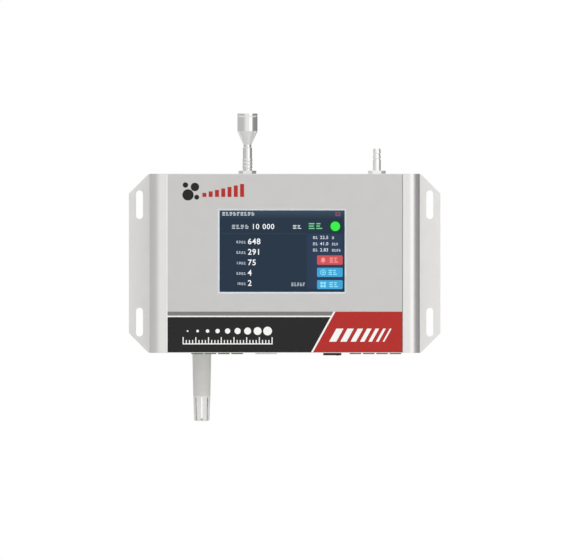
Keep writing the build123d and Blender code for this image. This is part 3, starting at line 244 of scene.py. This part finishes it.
def circuit_board(name):
    """Green solder mask with broad, faint copper areas under it."""
    finish = Finish(name, linear(20, 96, 52), 0.3, specular=0.5, coat=0.3)
    finish.mottle(finish.noise(mm(6), detail=0.0), 0.25)
    return finish.grain(finish.noise(mm(0.9)), mm(0.01))


def lamp_colour(red, green, blue):
    """The glow that shows a screen colour, allowing for what the glass in front reflects."""
    reflected = 0.011
    return tuple(max(0.0, part - reflected) for part in linear(red, green, blue)[:3]) + (1.0,)


def lit_film(name, red, green, blue):
    """Part of the lit picture on the display, behind glossy glass."""
    colour = lamp_colour(red, green, blue)
    finish = Finish(name, shaded(colour, 0.04), 0.16, specular=0.1)
    finish.mottle(finish.noise(mm(20)), 0.05)
    return finish.glow(colour)


def dress(finish, *names):
    """Gives CAD nodes a finish in every slot they have."""
    for name in names:
        for slot in nodes[name].material_slots:
            slot.material = finish.material


cover_satin = satin_metal("cover_satin", linear(229, 228, 226))
tray_paint = silver_paint("tray_paint", linear(234, 233, 231))
overlay_film = satin_film("overlay_film", linear(202, 201, 199))
dark_film = satin_film("dark_film", linear(39, 39, 39), spread=0.03, specular=0.12)
red_film = satin_film("red_film", linear(181, 48, 44), spread=0.02, specular=0.12)
stripe_film = satin_film("stripe_film", linear(127, 126, 124), spread=0.015)
white_film = satin_film("white_film", linear(248, 248, 246))
# painted shade: the dark grey of the strip that stands in for the shadow in the overlay's right joint
joint_shadow_grey = satin_film("joint_shadow_grey", linear(74, 74, 74), specular=0.1)
turned_steel = polished_metal("turned_steel", linear(231, 231, 230))
bright_steel = polished_metal("bright_steel", linear(250, 250, 248), roughness=0.36)
plated_steel = plated_metal("plated_steel", linear(196, 197, 198))
nickel_shell = plated_metal("nickel_shell", linear(214, 214, 212), roughness=0.4)
tinned_pin = plated_metal("tinned_pin", linear(206, 206, 202), roughness=0.3)
gold_contact = plated_metal("gold_contact", linear(214, 176, 92), roughness=0.25)
turned_brass = polished_metal("turned_brass", linear(205, 170, 98), roughness=0.24)
black_anodising = painted_metal("black_anodising", linear(42, 42, 44), roughness=0.45)
black_moulding = moulded_plastic("black_moulding", linear(34, 34, 35), specular=0.3)
bezel_moulding = moulded_plastic("bezel_moulding", linear(230, 236, 243), roughness=0.36, texture=0.3)
white_moulding = moulded_plastic("white_moulding", linear(226, 225, 220))
probe_moulding = moulded_plastic("probe_moulding", linear(212, 211, 207), roughness=0.38)
cap_moulding = moulded_plastic("cap_moulding", linear(230, 229, 225), roughness=0.34)
green_moulding = moulded_plastic("green_moulding", linear(82, 138, 80), roughness=0.4, spread=0.05)
hose_silicone = moulded_plastic("hose_silicone", linear(196, 197, 195), roughness=0.5)
seal_rubber = moulded_plastic("seal_rubber", linear(30, 30, 30), roughness=0.7, specular=0.3)
board_green = circuit_board("board_green")
dark_glass = Finish("dark_glass", linear(22, 27, 36), 0.08, specular=0.2)
dark_glass.mottle(dark_glass.noise(mm(30)), 0.05)

dress(cover_satin, "housing_cover")
dress(tray_paint, "chassis_tray")
dress(overlay_film, "front_overlay")
dress(dark_film, "dark_band_print")
dress(red_film, "red_field_print")
dress(stripe_film, "grey_stripe_print")
dress(white_film, "white_line_print")
dress(bezel_moulding, "display_bezel")
dress(dark_glass, "touch_glass", "lcd_panel")
dress(turned_steel, "inlet_fitting", "sampling_cup", "port_nuts")
dress(bright_steel, "exhaust_fitting")
dress(plated_steel, "cover_screws", "chassis_screws", "board_screws", "display_screws", "sensor_spacers",
      "motor_shaft", "blower_motor", "blower_bracket")
dress(nickel_shell, "ethernet_shield")
dress(tinned_pin, "terminal_pins")
dress(gold_contact, "ethernet_contacts", "switch_tabs")
dress(turned_brass, "board_standoffs", "inlet_jet", "outlet_jet", "laser_module")
dress(black_anodising, "sensor_block")
dress(black_moulding, "light_trap", "blower_housing", "blower_cover", "filter_clip", "ethernet_insert",
      "switch_frame", "switch_rocker")
dress(white_moulding, "blower_impeller", "exhaust_filter", "probe_nut")
dress(probe_moulding, "probe_body")
dress(cap_moulding, "probe_cap")
dress(green_moulding, *[name for name in nodes if name.startswith("terminal_block")])
dress(hose_silicone, "sample_hose", "transfer_hose", "exhaust_hose", "filter_hose")
dress(seal_rubber, "port_seals")
dress(board_green, "main_board", "display_board", "detector_board", "probe_sensor_board")


# ---------------------------------------------------------------- making flat pieces
def settle(piece, finish, body=INSTRUMENT):
    """Bakes a piece's place into its mesh, gives it its finish and lets it ride."""
    bpy.ops.object.select_all(action="DESELECT")
    piece.select_set(True)
    bpy.context.view_layer.objects.active = piece
    bpy.ops.object.transform_apply(location=True, rotation=True, scale=True)
    piece.data.materials.clear()
    piece.data.materials.append(finish.material)
    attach(piece, body)
    piece.select_set(False)
    return piece


def thicken(thickness):
    """Turns the flat face of the active piece into a plate that grows towards the front."""
    bpy.ops.object.mode_set(mode="EDIT")
    bpy.ops.mesh.select_all(action="SELECT")
    bpy.ops.mesh.extrude_region_move(TRANSFORM_OT_translate={"value": (0, -thickness, 0)})
    bpy.ops.mesh.select_all(action="SELECT")
    bpy.ops.mesh.normals_make_consistent(inside=False)
    bpy.ops.object.mode_set(mode="OBJECT")
    return bpy.context.object


def plate(x, z, width, height, back, thickness, corner=0.0, lean=0.0):
    """A thin plate parallel to the front that stands on the plane y = back.

    Its outline may have rounded corners, or an upper edge moved right so that its sides lean.
    """
    bpy.ops.object.select_all(action="DESELECT")
    bpy.ops.mesh.primitive_plane_add(size=1, location=(x, back, z), rotation=(pi / 2, 0, 0))
    piece = bpy.context.object
    piece.scale = (width, height, 1)
    bpy.ops.object.transform_apply(location=False, rotation=True, scale=True)
    if corner:
        bpy.ops.object.mode_set(mode="EDIT")
        bpy.ops.mesh.select_all(action="SELECT")
        bpy.ops.mesh.bevel(offset=corner, segments=4, affect="VERTICES")
        bpy.ops.object.mode_set(mode="OBJECT")
    if lean:
        bpy.ops.object.mode_set(mode="EDIT")
        bpy.ops.mesh.select_mode(type="VERT")
        bpy.ops.mesh.select_all(action="DESELECT")
        bpy.ops.object.mode_set(mode="OBJECT")
        for vertex in piece.data.vertices:
            vertex.select = vertex.co.z > 0
        bpy.ops.object.mode_set(mode="EDIT")
        bpy.ops.transform.translate(value=(height * tan(lean), 0, 0))
        bpy.ops.object.mode_set(mode="OBJECT")
    return thicken(thickness)


def round_plate(x, z, radius, back, thickness, steps=32, turn=0.0):
    """A thin disc parallel to the front, or a regular polygon turned in its plane."""
    bpy.ops.object.select_all(action="DESELECT")
    bpy.ops.mesh.primitive_circle_add(
        vertices=steps, radius=radius, fill_type="NGON", location=(x, back, z), rotation=(pi / 2, turn, 0)
    )
    bpy.ops.object.transform_apply(location=False, rotation=True, scale=True)
    return thicken(thickness)


def ring_plate(x, z, radius, width, back, thickness, steps=32):
    """A thin ring parallel to the front."""
    bpy.ops.object.select_all(action="DESELECT")
    bpy.ops.mesh.primitive_circle_add(
        vertices=steps, radius=radius, fill_type="NGON", location=(x, back, z), rotation=(pi / 2, 0, 0)
    )
    bpy.ops.object.transform_apply(location=False, rotation=True, scale=True)
    bpy.ops.object.mode_set(mode="EDIT")
    bpy.ops.mesh.select_all(action="SELECT")
    bpy.ops.mesh.inset(thickness=width)
    bpy.ops.mesh.delete(type="FACE")
    bpy.ops.object.mode_set(mode="OBJECT")
    return thicken(thickness)


def join(pieces, name):
    """Several meshes as one piece."""
    bpy.ops.object.select_all(action="DESELECT")
    for piece in pieces:
        piece.select_set(True)
    bpy.context.view_layer.objects.active = pieces[0]
    if len(pieces) > 1:
        bpy.ops.object.join()
    pieces[0].name = name
    return pieces[0]


def number(text, x, z, height, back, thickness, weight=0.02, align="LEFT", spread=1.0):
    """A plain number parallel to the front, whose figures are height tall and start or end at x."""
    bpy.ops.object.select_all(action="DESELECT")
    bpy.ops.object.text_add(location=(x, back, z), rotation=(pi / 2, 0, 0))
    figures = bpy.context.object.data
    figures.body = text
    figures.size = height / 0.72
    figures.align_x = align
    figures.align_y = "CENTER"
    figures.offset = weight * figures.size
    figures.space_character = spread
    figures.extrude = thickness / 2
    figures.resolution_u = 4
    bpy.ops.object.convert(target="MESH")
    piece = bpy.context.object
    piece.location.y -= thickness / 2
    return piece


# ---------------------------------------------------------------- what the display shows
film = mm(0.05)
layer_y = [glass_face - index * film for index in range(5)]
dark_margin = 0.6  # between the rim and the left edge of what is shown, in millimetres
picture_left = screen_left + mm(dark_margin)
picture_width = (screen_right - picture_left) * 1000
picture_height = (screen_top - screen_base) * 1000
header_height = 6.4
panel_left = 67.4


def across(distance):
    """x of a point that many millimetres from the left edge of the picture."""
    return picture_left + mm(distance)


def down(distance):
    """z of a point that many millimetres below the upper edge of the picture."""
    return screen_top - mm(distance)


def bar(left, right, top, bottom, layer, corner=0.0):
    """A rounded bar of the picture, placed by its edges in millimetres."""
    return plate((across(left) + across(right)) / 2, (down(top) + down(bottom)) / 2,
                 mm(right - left), mm(bottom - top), layer_y[layer], film, mm(corner))


def disc(middle, drop, radius, layer, steps=32, turn=0.0):
    """A disc of the picture, or a polygon, placed by its middle in millimetres."""
    return round_plate(across(middle), down(drop), mm(radius), layer_y[layer], film, steps, turn)


def figures(text, x, drop, height, layer, weight=0.02, align="LEFT", spread=1.0):
    """A number of the picture, placed in millimetres."""
    return number(text, across(x), down(drop), mm(height), layer_y[layer], film, weight, align, spread)


def dummy_word(left, right, top, bottom, count, layer):
    """A row of small marks, each of three short bars, in place of a word."""
    pitch = (right - left) / count
    rise = (bottom - top) / 5
    longest = 0.76 * pitch
    shares = (1.0, 0.7, 0.9, 0.6, 1.0)
    marks = []
    for index in range(count):
        start = left + index * pitch
        for line in range(3):
            length = longest * shares[(index + 2 * line) % len(shares)]
            line_top = top + 2 * line * rise
            marks.append(bar(start, start + length, line_top, line_top + rise, layer))
    return marks


def show(name, finish, pieces):
    """One piece of the lit picture."""
    return settle(join(pieces, name), finish)


picture_blue = lit_film("picture_blue", 47, 59, 73)
header_blue = lit_film("header_blue", 56, 72, 88)
header_blue.fading_glow(down(header_height), down(0), 2, lamp_colour(48, 60, 74), lamp_colour(64, 80, 96))
panel_blue = lit_film("panel_blue", 49, 65, 86)
panel_blue.fading_glow(across(panel_left), across(panel_left + 5), 0,
                       lamp_colour(49, 64, 84), lamp_colour(51, 66, 88))
lit_white = lit_film("lit_white", 246, 248, 250)
lit_pale = lit_film("lit_pale", 226, 233, 240)
lit_grey = lit_film("lit_grey", 198, 209, 220)
lit_line = lit_film("lit_line", 60, 72, 88)
lit_green = lit_film("lit_green", 66, 236, 82)
lit_green_text = lit_film("lit_green_text", 118, 206, 150)
dark_green = lit_film("dark_green", 22, 84, 44)
lit_red = lit_film("lit_red", 205, 88, 92)
lit_red_text = lit_film("lit_red_text", 255, 158, 158)
lit_blue = lit_film("lit_blue", 69, 166, 216)
lit_blue_text = lit_film("lit_blue_text", 150, 230, 252)
dim_red = lit_film("dim_red", 124, 92, 112)
dark_red = lit_film("dark_red", 96, 66, 88)

edge = 0.1
left_end = edge - dark_margin
right_end = picture_width - edge
show("picture_ground", picture_blue, [bar(left_end, right_end, edge, picture_height - edge, 0)])
show("picture_header", header_blue, [bar(left_end, right_end, edge, header_height, 1)])
show("picture_panel", panel_blue,
     [bar(panel_left, picture_width - 1.4, 18.2, picture_height - 2.4, 1, corner=0.6)])
show("picture_line", lit_line, [bar(1.2, panel_left - 0.8, 17.9, 18.3, 1)])

# rows of particle counts: size on the left, count beside it
count_rows = (
    (24.4, "0.3", "648"), (32.6, "0.5", "291"), (40.8, "1.0", "75"), (48.9, "5.0", "4"), (56.9, "10", "2"),
)
counts = [figures("10 000", 24.4, 12.8, 4.1, 1, weight=0.01, spread=1.14)]
small_marks = []
for drop, size, count in count_rows:
    counts.append(figures(count, 21.4, drop, 4.5, 1, weight=0.015, spread=1.1))
    small_marks.append(figures(size, 15.9, drop + 0.3, 2.0, 1, weight=0.02, align="RIGHT"))
    small_marks += dummy_word(16.4, 20.4, drop - 0.5, drop + 1.3, 2, 1)
small_marks += dummy_word(9.1, 22.9, 11.3, 14.3, 4, 1)
small_marks += dummy_word(55.4, 66.6, 56.4, 59.0, 5, 1)
show("picture_counts", lit_white, counts)
show("picture_small_marks", lit_grey, small_marks)

# readings of the air, in the panel on the right, each with marks for its name and its unit
pale_marks = dummy_word(1.6, 27.2, 1.4, 3.9, 9, 2) + dummy_word(56.7, 64.0, 11.5, 14.3, 2, 1)
readings = ((21.2, "22.5", 1, 89.2), (26.1, "41.0", 3, 92.2), (30.9, "2.83", 4, 94.2))
for drop, reading, unit_marks, unit_end in readings:
    pale_marks += dummy_word(72.3, 76.4, drop - 1.0, drop + 1.0, 2, 2)
    pale_marks.append(figures(reading, 77.8, drop, 2.5, 2, weight=0.012, spread=1.1))
    pale_marks += dummy_word(87.1, unit_end, drop - 0.7, drop + 1.1, unit_marks, 2)
show("picture_pale_marks", lit_pale, pale_marks)

# state of the air, and a notice in the header
lamp_place = (89.7, 12.4)
show("picture_state_rim", dark_green, [disc(*lamp_place, 4.5, 2)])
show("picture_state_lamp", lit_green, [disc(*lamp_place, 3.7, 3)])
show("picture_state_word", lit_green_text, dummy_word(69.0, 80.9, 9.9, 14.5, 2, 2))
show("picture_notice", dim_red, [bar(89.8, 93.7, 1.3, 4.4, 2, corner=0.5)])
show("picture_notice_ground", dark_red, [bar(90.6, 92.9, 2.1, 3.6, 3, corner=0.3)])

# touch buttons with a mark and a caption each
button_spans = ((35.1, 42.4), (44.7, 51.9), (54.4, 61.4))
bell_drop, play_drop, tiles_drop = [(top + bottom) / 2 for top, bottom in button_spans]
buttons = [bar(75.5, 95.5, top, bottom, 2, corner=0.9) for top, bottom in button_spans]
show("picture_red_button", lit_red, buttons[:1])
show("picture_blue_buttons", lit_blue, buttons[1:])

mark_x = 80.2
bell = [
    disc(mark_x, bell_drop - 0.5, 1.4, 3, steps=20),
    bar(mark_x - 1.9, mark_x + 1.9, bell_drop + 0.6, bell_drop + 1.2, 3),
    disc(mark_x, bell_drop + 1.8, 0.5, 3, steps=12),
]
bell += dummy_word(85.3, 92.6, bell_drop - 1.9, bell_drop + 1.9, 2, 3)
show("picture_red_marks", lit_red_text, bell)

blue_marks = [
    ring_plate(across(mark_x), down(play_drop), mm(2.2), mm(0.5), layer_y[3], film),
    disc(mark_x + 0.15, play_drop, 1.15, 3, steps=3, turn=pi / 2),
]
blue_marks += dummy_word(84.5, 91.8, play_drop - 1.9, play_drop + 1.9, 2, 3)
tile = 0.9  # half a tile's side
for side in (-1.2, 1.2):
    for rise in (-1.2, 1.2):
        x, drop = mark_x + side, tiles_drop + rise
        blue_marks.append(bar(x - tile, x + tile, drop - tile, drop + tile, 3, corner=0.2))
blue_marks += dummy_word(85.1, 92.6, tiles_drop - 1.9, tiles_drop + 1.9, 2, 3)
show("picture_blue_marks", lit_blue_text, blue_marks)


# ---------------------------------------------------------------- generic marks printed on the front
ink = mm(0.03)
overlay_back = overlay_high[1]


def side_strip(x, width, thickness):
    """A strip as high as the overlay that stands on the bed below it."""
    middle = (overlay_low[2] + overlay_high[2]) / 2
    return plate(x, middle, width, overlay_high[2] - overlay_low[2], overlay_back, thickness)


# at the sides of the overlay: a dark strip in the right joint as painted shade, a light strip over the left
# joint as a painted highlight of the shoulder's edge
film_depth = overlay_back - print_face + mm(0.02)
# painted shade: a dark grey strip in the right joint, where there is only shadow in the gap
joint_shadow_strip = side_strip(overlay_high[0] + mm(0.14), mm(0.24), mm(0.1))
settle(join([joint_shadow_strip], "joint_shadow_strip"), joint_shadow_grey)
# painted highlight: a light strip over the left joint and the overlay's edge, in place of the highlight on
# the shoulder's inner edge
edge_highlight_strip = side_strip(overlay_low[0] - mm(0.05), mm(0.84), film_depth)
settle(join([edge_highlight_strip], "edge_highlight_strip"), white_film)

band_base = band_low[2]
overlay_top = overlay_high[2]
scale_left = mm(-79.6)
scale_right = mm(-9.4)
scale_middle = (scale_left + scale_right) / 2
scale_length = scale_right - scale_left

# a row of dots that grow, as particle sizes do, over a fine scale
dot_count = 9
dot_z = band_base + mm(16.6)
dot_pitch = scale_length / dot_count
band_marks = [
    round_plate(scale_left + (index + 0.5) * dot_pitch, dot_z, mm(0.7 + 0.34 * index), print_face, ink)
    for index in range(dot_count)
]
line_width = mm(0.8)
line_base = band_base + mm(6.2)
line_z = line_base + line_width / 2
band_marks.append(plate(scale_middle, line_z, scale_length, line_width, print_face, ink))
tick_count = 28
for index in range(tick_count + 1):
    height = mm(4.8 if index % 4 == 0 else 2.6)
    x = scale_left + line_width / 2 + index * (scale_length - line_width) / tick_count
    band_marks.append(plate(x, line_base + line_width + height / 2, line_width, height, print_face, ink))
settle(join(band_marks, "band_dot_scale"), white_film)

# leaning bars on the red field, parallel to its edge
field_lean = radians(28.9)
bar_z = band_base + mm(13.4)
bar_height = mm(10.2)
bar_gap = mm(3.1)
bar_x = mm(34.7)
field_marks = []
for index in range(7):
    width = mm(5.6 - 0.7 * index)
    field_marks.append(plate(bar_x + width / 2, bar_z, width, bar_height, print_face, ink, lean=field_lean))
    bar_x += width + bar_gap
settle(join(field_marks, "red_field_bars"), white_film)

# a cluster of particles and a rising row of bars in the upper left corner
particle_marks = [
    round_plate(mm(x), overlay_top - mm(drop), mm(radius), overlay_face, ink)
    for x, drop, radius in ((-75.4, 16.0, 4.4), (-70.0, 9.8, 3.3), (-77.4, 8.3, 2.1), (-68.6, 17.8, 1.9))
]
settle(join(particle_marks, "particle_mark"), dark_film)
level_marks = []
level_base = overlay_top - mm(17.6)
for index in range(7):
    height = mm(3.2 + 1.15 * index)
    x = mm(-62.6 + 4.9 * index)
    level_marks.append(plate(x, level_base + height / 2, mm(3.1), height, overlay_face, ink))
settle(join(level_marks, "level_mark"), red_film)


# ---------------------------------------------------------------- marks on the power rocker
def rocker_face(side):
    """Middle and tilt of the lower face of the rocker on one side of its pivot."""
    low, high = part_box("switch_rocker")
    pivot_x = (low[0] + high[0]) / 2
    total = Vector()
    normal = Vector()
    area = 0.0
    for face in nodes["switch_rocker"].data.polygons:
        if face.normal.z < -0.95 and (face.center.x - pivot_x) * side > 0:
            total += face.center * face.area
            normal += face.normal * face.area
            area += face.area
    return total / area, atan2(normal.x, -normal.z)


def rocker_mark(side, ring):
    """A white inlay on the rocker: a ring, or a plain bar as long as the ring is wide."""
    radius = mm(1.1)
    place, tilt = rocker_face(side)
    if ring:
        mark = ring_plate(0, 0, radius, mm(0.4), 0, ink)
    else:
        mark = plate(0, 0, mm(0.5), 2 * radius, 0, ink)
    mark.rotation_euler = (pi / 2, 0, 0)
    bpy.ops.object.transform_apply(location=True, rotation=True, scale=True)
    mark.rotation_euler = (0, -tilt, 0)
    mark.location = place
    return mark


on_off_marks = [rocker_mark(1, ring=False), rocker_mark(-1, ring=True)]
for mark in on_off_marks:
    bpy.ops.object.select_all(action="DESELECT")
    mark.select_set(True)
    bpy.context.view_layer.objects.active = mark
    bpy.ops.object.transform_apply(location=True, rotation=True, scale=True)
settle(join(on_off_marks, "on_off_marks"), white_film, body=ROCKER)


# ---------------------------------------------------------------- light
def aim(obj, target):
    """Turns an object so that it looks at target."""
    obj.rotation_euler = (Vector(target) - obj.location).to_track_quat("-Z", "Y").to_euler()


def studio_rays(tree):
    """A socket that is 1 for the rays that see the plain white surroundings."""
    path = tree.nodes.new("ShaderNodeLightPath")
    total = path.outputs["Is Camera Ray"]
    for name in ("Is Glossy Ray", "Is Transmission Ray"):
        most = tree.nodes.new("ShaderNodeMath")
        most.operation = "MAXIMUM"
        tree.links.new(total, most.inputs[0])
        tree.links.new(path.outputs[name], most.inputs[1])
        total = most.outputs[0]
    return total


def studio_world(light_strength):
    """Pale surroundings: plain white where seen, with a strength of their own as a light."""
    world = bpy.data.worlds.new("studio")
    bpy.context.scene.world = world
    world.use_nodes = True
    tree = world.node_tree
    background = tree.nodes["Background"]
    background.inputs["Color"].default_value = (1, 1, 1, 1)
    strength = tree.nodes.new("ShaderNodeMapRange")
    strength.inputs["To Min"].default_value = light_strength
    strength.inputs["To Max"].default_value = 1.0
    tree.links.new(studio_rays(tree), strength.inputs["Value"])
    tree.links.new(strength.outputs["Result"], background.inputs["Strength"])


def studio_floor(height, size):
    """A pale floor that looks white, keeps a soft shadow and is clear from below."""
    seen_white = 0.9  # share of plain white in what is seen, the rest being lit and shadowed
    bpy.ops.mesh.primitive_plane_add(size=size, location=(0, 0, height))
    floor = bpy.context.object
    floor.name = "studio_floor"
    material = bpy.data.materials.new("studio_floor")
    material.use_nodes = True
    tree = material.node_tree
    shader = tree.nodes["Principled BSDF"]
    shader.inputs["Base Color"].default_value = (0.9, 0.9, 0.9, 1)
    shader.inputs["Roughness"].default_value = 0.9
    glow = tree.nodes.new("ShaderNodeEmission")
    mix = tree.nodes.new("ShaderNodeMixShader")
    share = tree.nodes.new("ShaderNodeMath")
    share.operation = "MULTIPLY"
    share.inputs[1].default_value = seen_white
    tree.links.new(studio_rays(tree), share.inputs[0])
    tree.links.new(share.outputs[0], mix.inputs["Fac"])
    tree.links.new(shader.outputs["BSDF"], mix.inputs[1])
    tree.links.new(glow.outputs["Emission"], mix.inputs[2])
    side = tree.nodes.new("ShaderNodeNewGeometry")
    clear = tree.nodes.new("ShaderNodeBsdfTransparent")
    one_sided = tree.nodes.new("ShaderNodeMixShader")
    tree.links.new(side.outputs["Backfacing"], one_sided.inputs["Fac"])
    tree.links.new(mix.outputs["Shader"], one_sided.inputs[1])
    tree.links.new(clear.outputs["BSDF"], one_sided.inputs[2])
    tree.links.new(one_sided.outputs["Shader"], tree.nodes["Material Output"].inputs["Surface"])
    floor.data.materials.append(material)


def tent_wall(radius, base, top, light_round):
    """A curved card round the instrument, open in front, whose light changes from angle to angle.

    light_round lists angles from the front, positive to the right, each with its brightness. The
    opening lies between the two angles next to the front. The camera sees through the card.
    """
    bpy.ops.object.select_all(action="DESELECT")
    bpy.ops.mesh.primitive_cylinder_add(
        vertices=180, radius=radius, depth=top - base, end_fill_type="NOTHING",
        location=(0, 0, (top + base) / 2),
    )
    wall = bpy.context.object
    wall.name = "tent_wall"
    bpy.ops.object.transform_apply(location=True, rotation=True, scale=True)
    left_edge = max(angle for angle, light in light_round if angle < 0)
    right_edge = min(angle for angle, light in light_round if angle > 0)
    bpy.ops.object.mode_set(mode="EDIT")
    bpy.ops.mesh.select_all(action="DESELECT")
    bpy.ops.object.mode_set(mode="OBJECT")
    for face in wall.data.polygons:
        face.select = left_edge < degrees(atan2(face.center.x, -face.center.y)) < right_edge
    bpy.ops.object.mode_set(mode="EDIT")
    bpy.ops.mesh.select_mode(type="FACE")
    bpy.ops.mesh.delete(type="FACE")
    bpy.ops.object.mode_set(mode="OBJECT")
    material = bpy.data.materials.new("tent_wall")
    material.use_nodes = True
    tree = material.node_tree
    tree.nodes.remove(tree.nodes["Principled BSDF"])
    glow = tree.nodes.new("ShaderNodeEmission")
    coordinates = tree.nodes.new("ShaderNodeTexCoord")
    split = tree.nodes.new("ShaderNodeSeparateXYZ")
    forward = tree.nodes.new("ShaderNodeMath")
    forward.operation = "MULTIPLY"
    forward.inputs[1].default_value = -1.0
    angle_round = tree.nodes.new("ShaderNodeMath")
    angle_round.operation = "ARCTAN2"
    share = tree.nodes.new("ShaderNodeMapRange")
    share.inputs["From Min"].default_value = -pi
    share.inputs["From Max"].default_value = pi
    ramp = tree.nodes.new("ShaderNodeValToRGB")
    stops = ramp.color_ramp.elements
    while len(stops) < len(light_round):
        stops.new(0.5)
    for stop, (angle, light) in zip(stops, light_round):
        stop.position = (angle + 180) / 360
        stop.color = (light, light, light, 1)
    tree.links.new(coordinates.outputs["Object"], split.inputs["Vector"])
    tree.links.new(split.outputs["X"], angle_round.inputs[0])
    tree.links.new(split.outputs["Y"], forward.inputs[0])
    tree.links.new(forward.outputs[0], angle_round.inputs[1])
    tree.links.new(angle_round.outputs[0], share.inputs["Value"])
    tree.links.new(share.outputs["Result"], ramp.inputs["Fac"])
    tree.links.new(ramp.outputs["Color"], glow.inputs["Color"])
    tree.links.new(glow.outputs["Emission"], tree.nodes["Material Output"].inputs["Surface"])
    wall.data.materials.append(material)
    wall.visible_camera = False


def softbox(name, angle, distance, height, size, brightness, target=(0, -0.04, 0)):
    """A rectangular lamp at an angle to the right of the front.

    Its brightness is a share of that of a white card.
    """
    place = Vector((distance * sin(radians(angle)), -distance * cos(radians(angle)), height))
    bpy.ops.object.light_add(type="AREA", location=place)
    lamp = bpy.context.object
    lamp.name = name
    lamp.data.shape = "RECTANGLE"
    lamp.data.size, lamp.data.size_y = size
    lamp.data.energy = brightness * pi * size[0] * size[1]
    aim(lamp, target)


floor_height = -0.36
studio_world(light_strength=1.12)
studio_floor(floor_height, size=8.0)
tent_wall(radius=1.6, base=floor_height, top=0.95, light_round=(
    (-180, 0.58), (-100, 0.6), (-60, 0.6), (-48, 0.62), (-36, 0.7), (-25, 0.86), (-14, 1.0),
    (42, 1.0), (58, 0.84), (65, 0.34), (100, 0.32), (130, 0.28), (180, 0.24),
))
softbox("front_box", angle=37, distance=1.5, height=0.35, size=(0.72, 1.5), brightness=0.5)

# ---------------------------------------------------------------- camera
view_width = 567  # of the picture, in pixels
view_height = 560
metres_per_pixel = mm(0.78)
housing_column = 284.65  # where the middle of the housing stands in the view
housing_row = 263.35
camera_distance = 15.0  # from the front of the instrument
front_y = cad_box[0][1]

bpy.ops.object.camera_add(
    location=(
        (view_width / 2 - housing_column) * metres_per_pixel,
        front_y - camera_distance,
        (housing_row - view_height / 2) * metres_per_pixel,
    ),
    rotation=(pi / 2, 0, 0),
)
camera = bpy.context.object
camera.data.sensor_fit = "HORIZONTAL"
camera.data.sensor_width = 36.0
camera.data.lens = camera.data.sensor_width * camera_distance / (view_width * metres_per_pixel)
camera.data.dof.use_dof = False
bpy.context.scene.camera = camera
bpy.context.scene.view_settings.view_transform = "Standard"
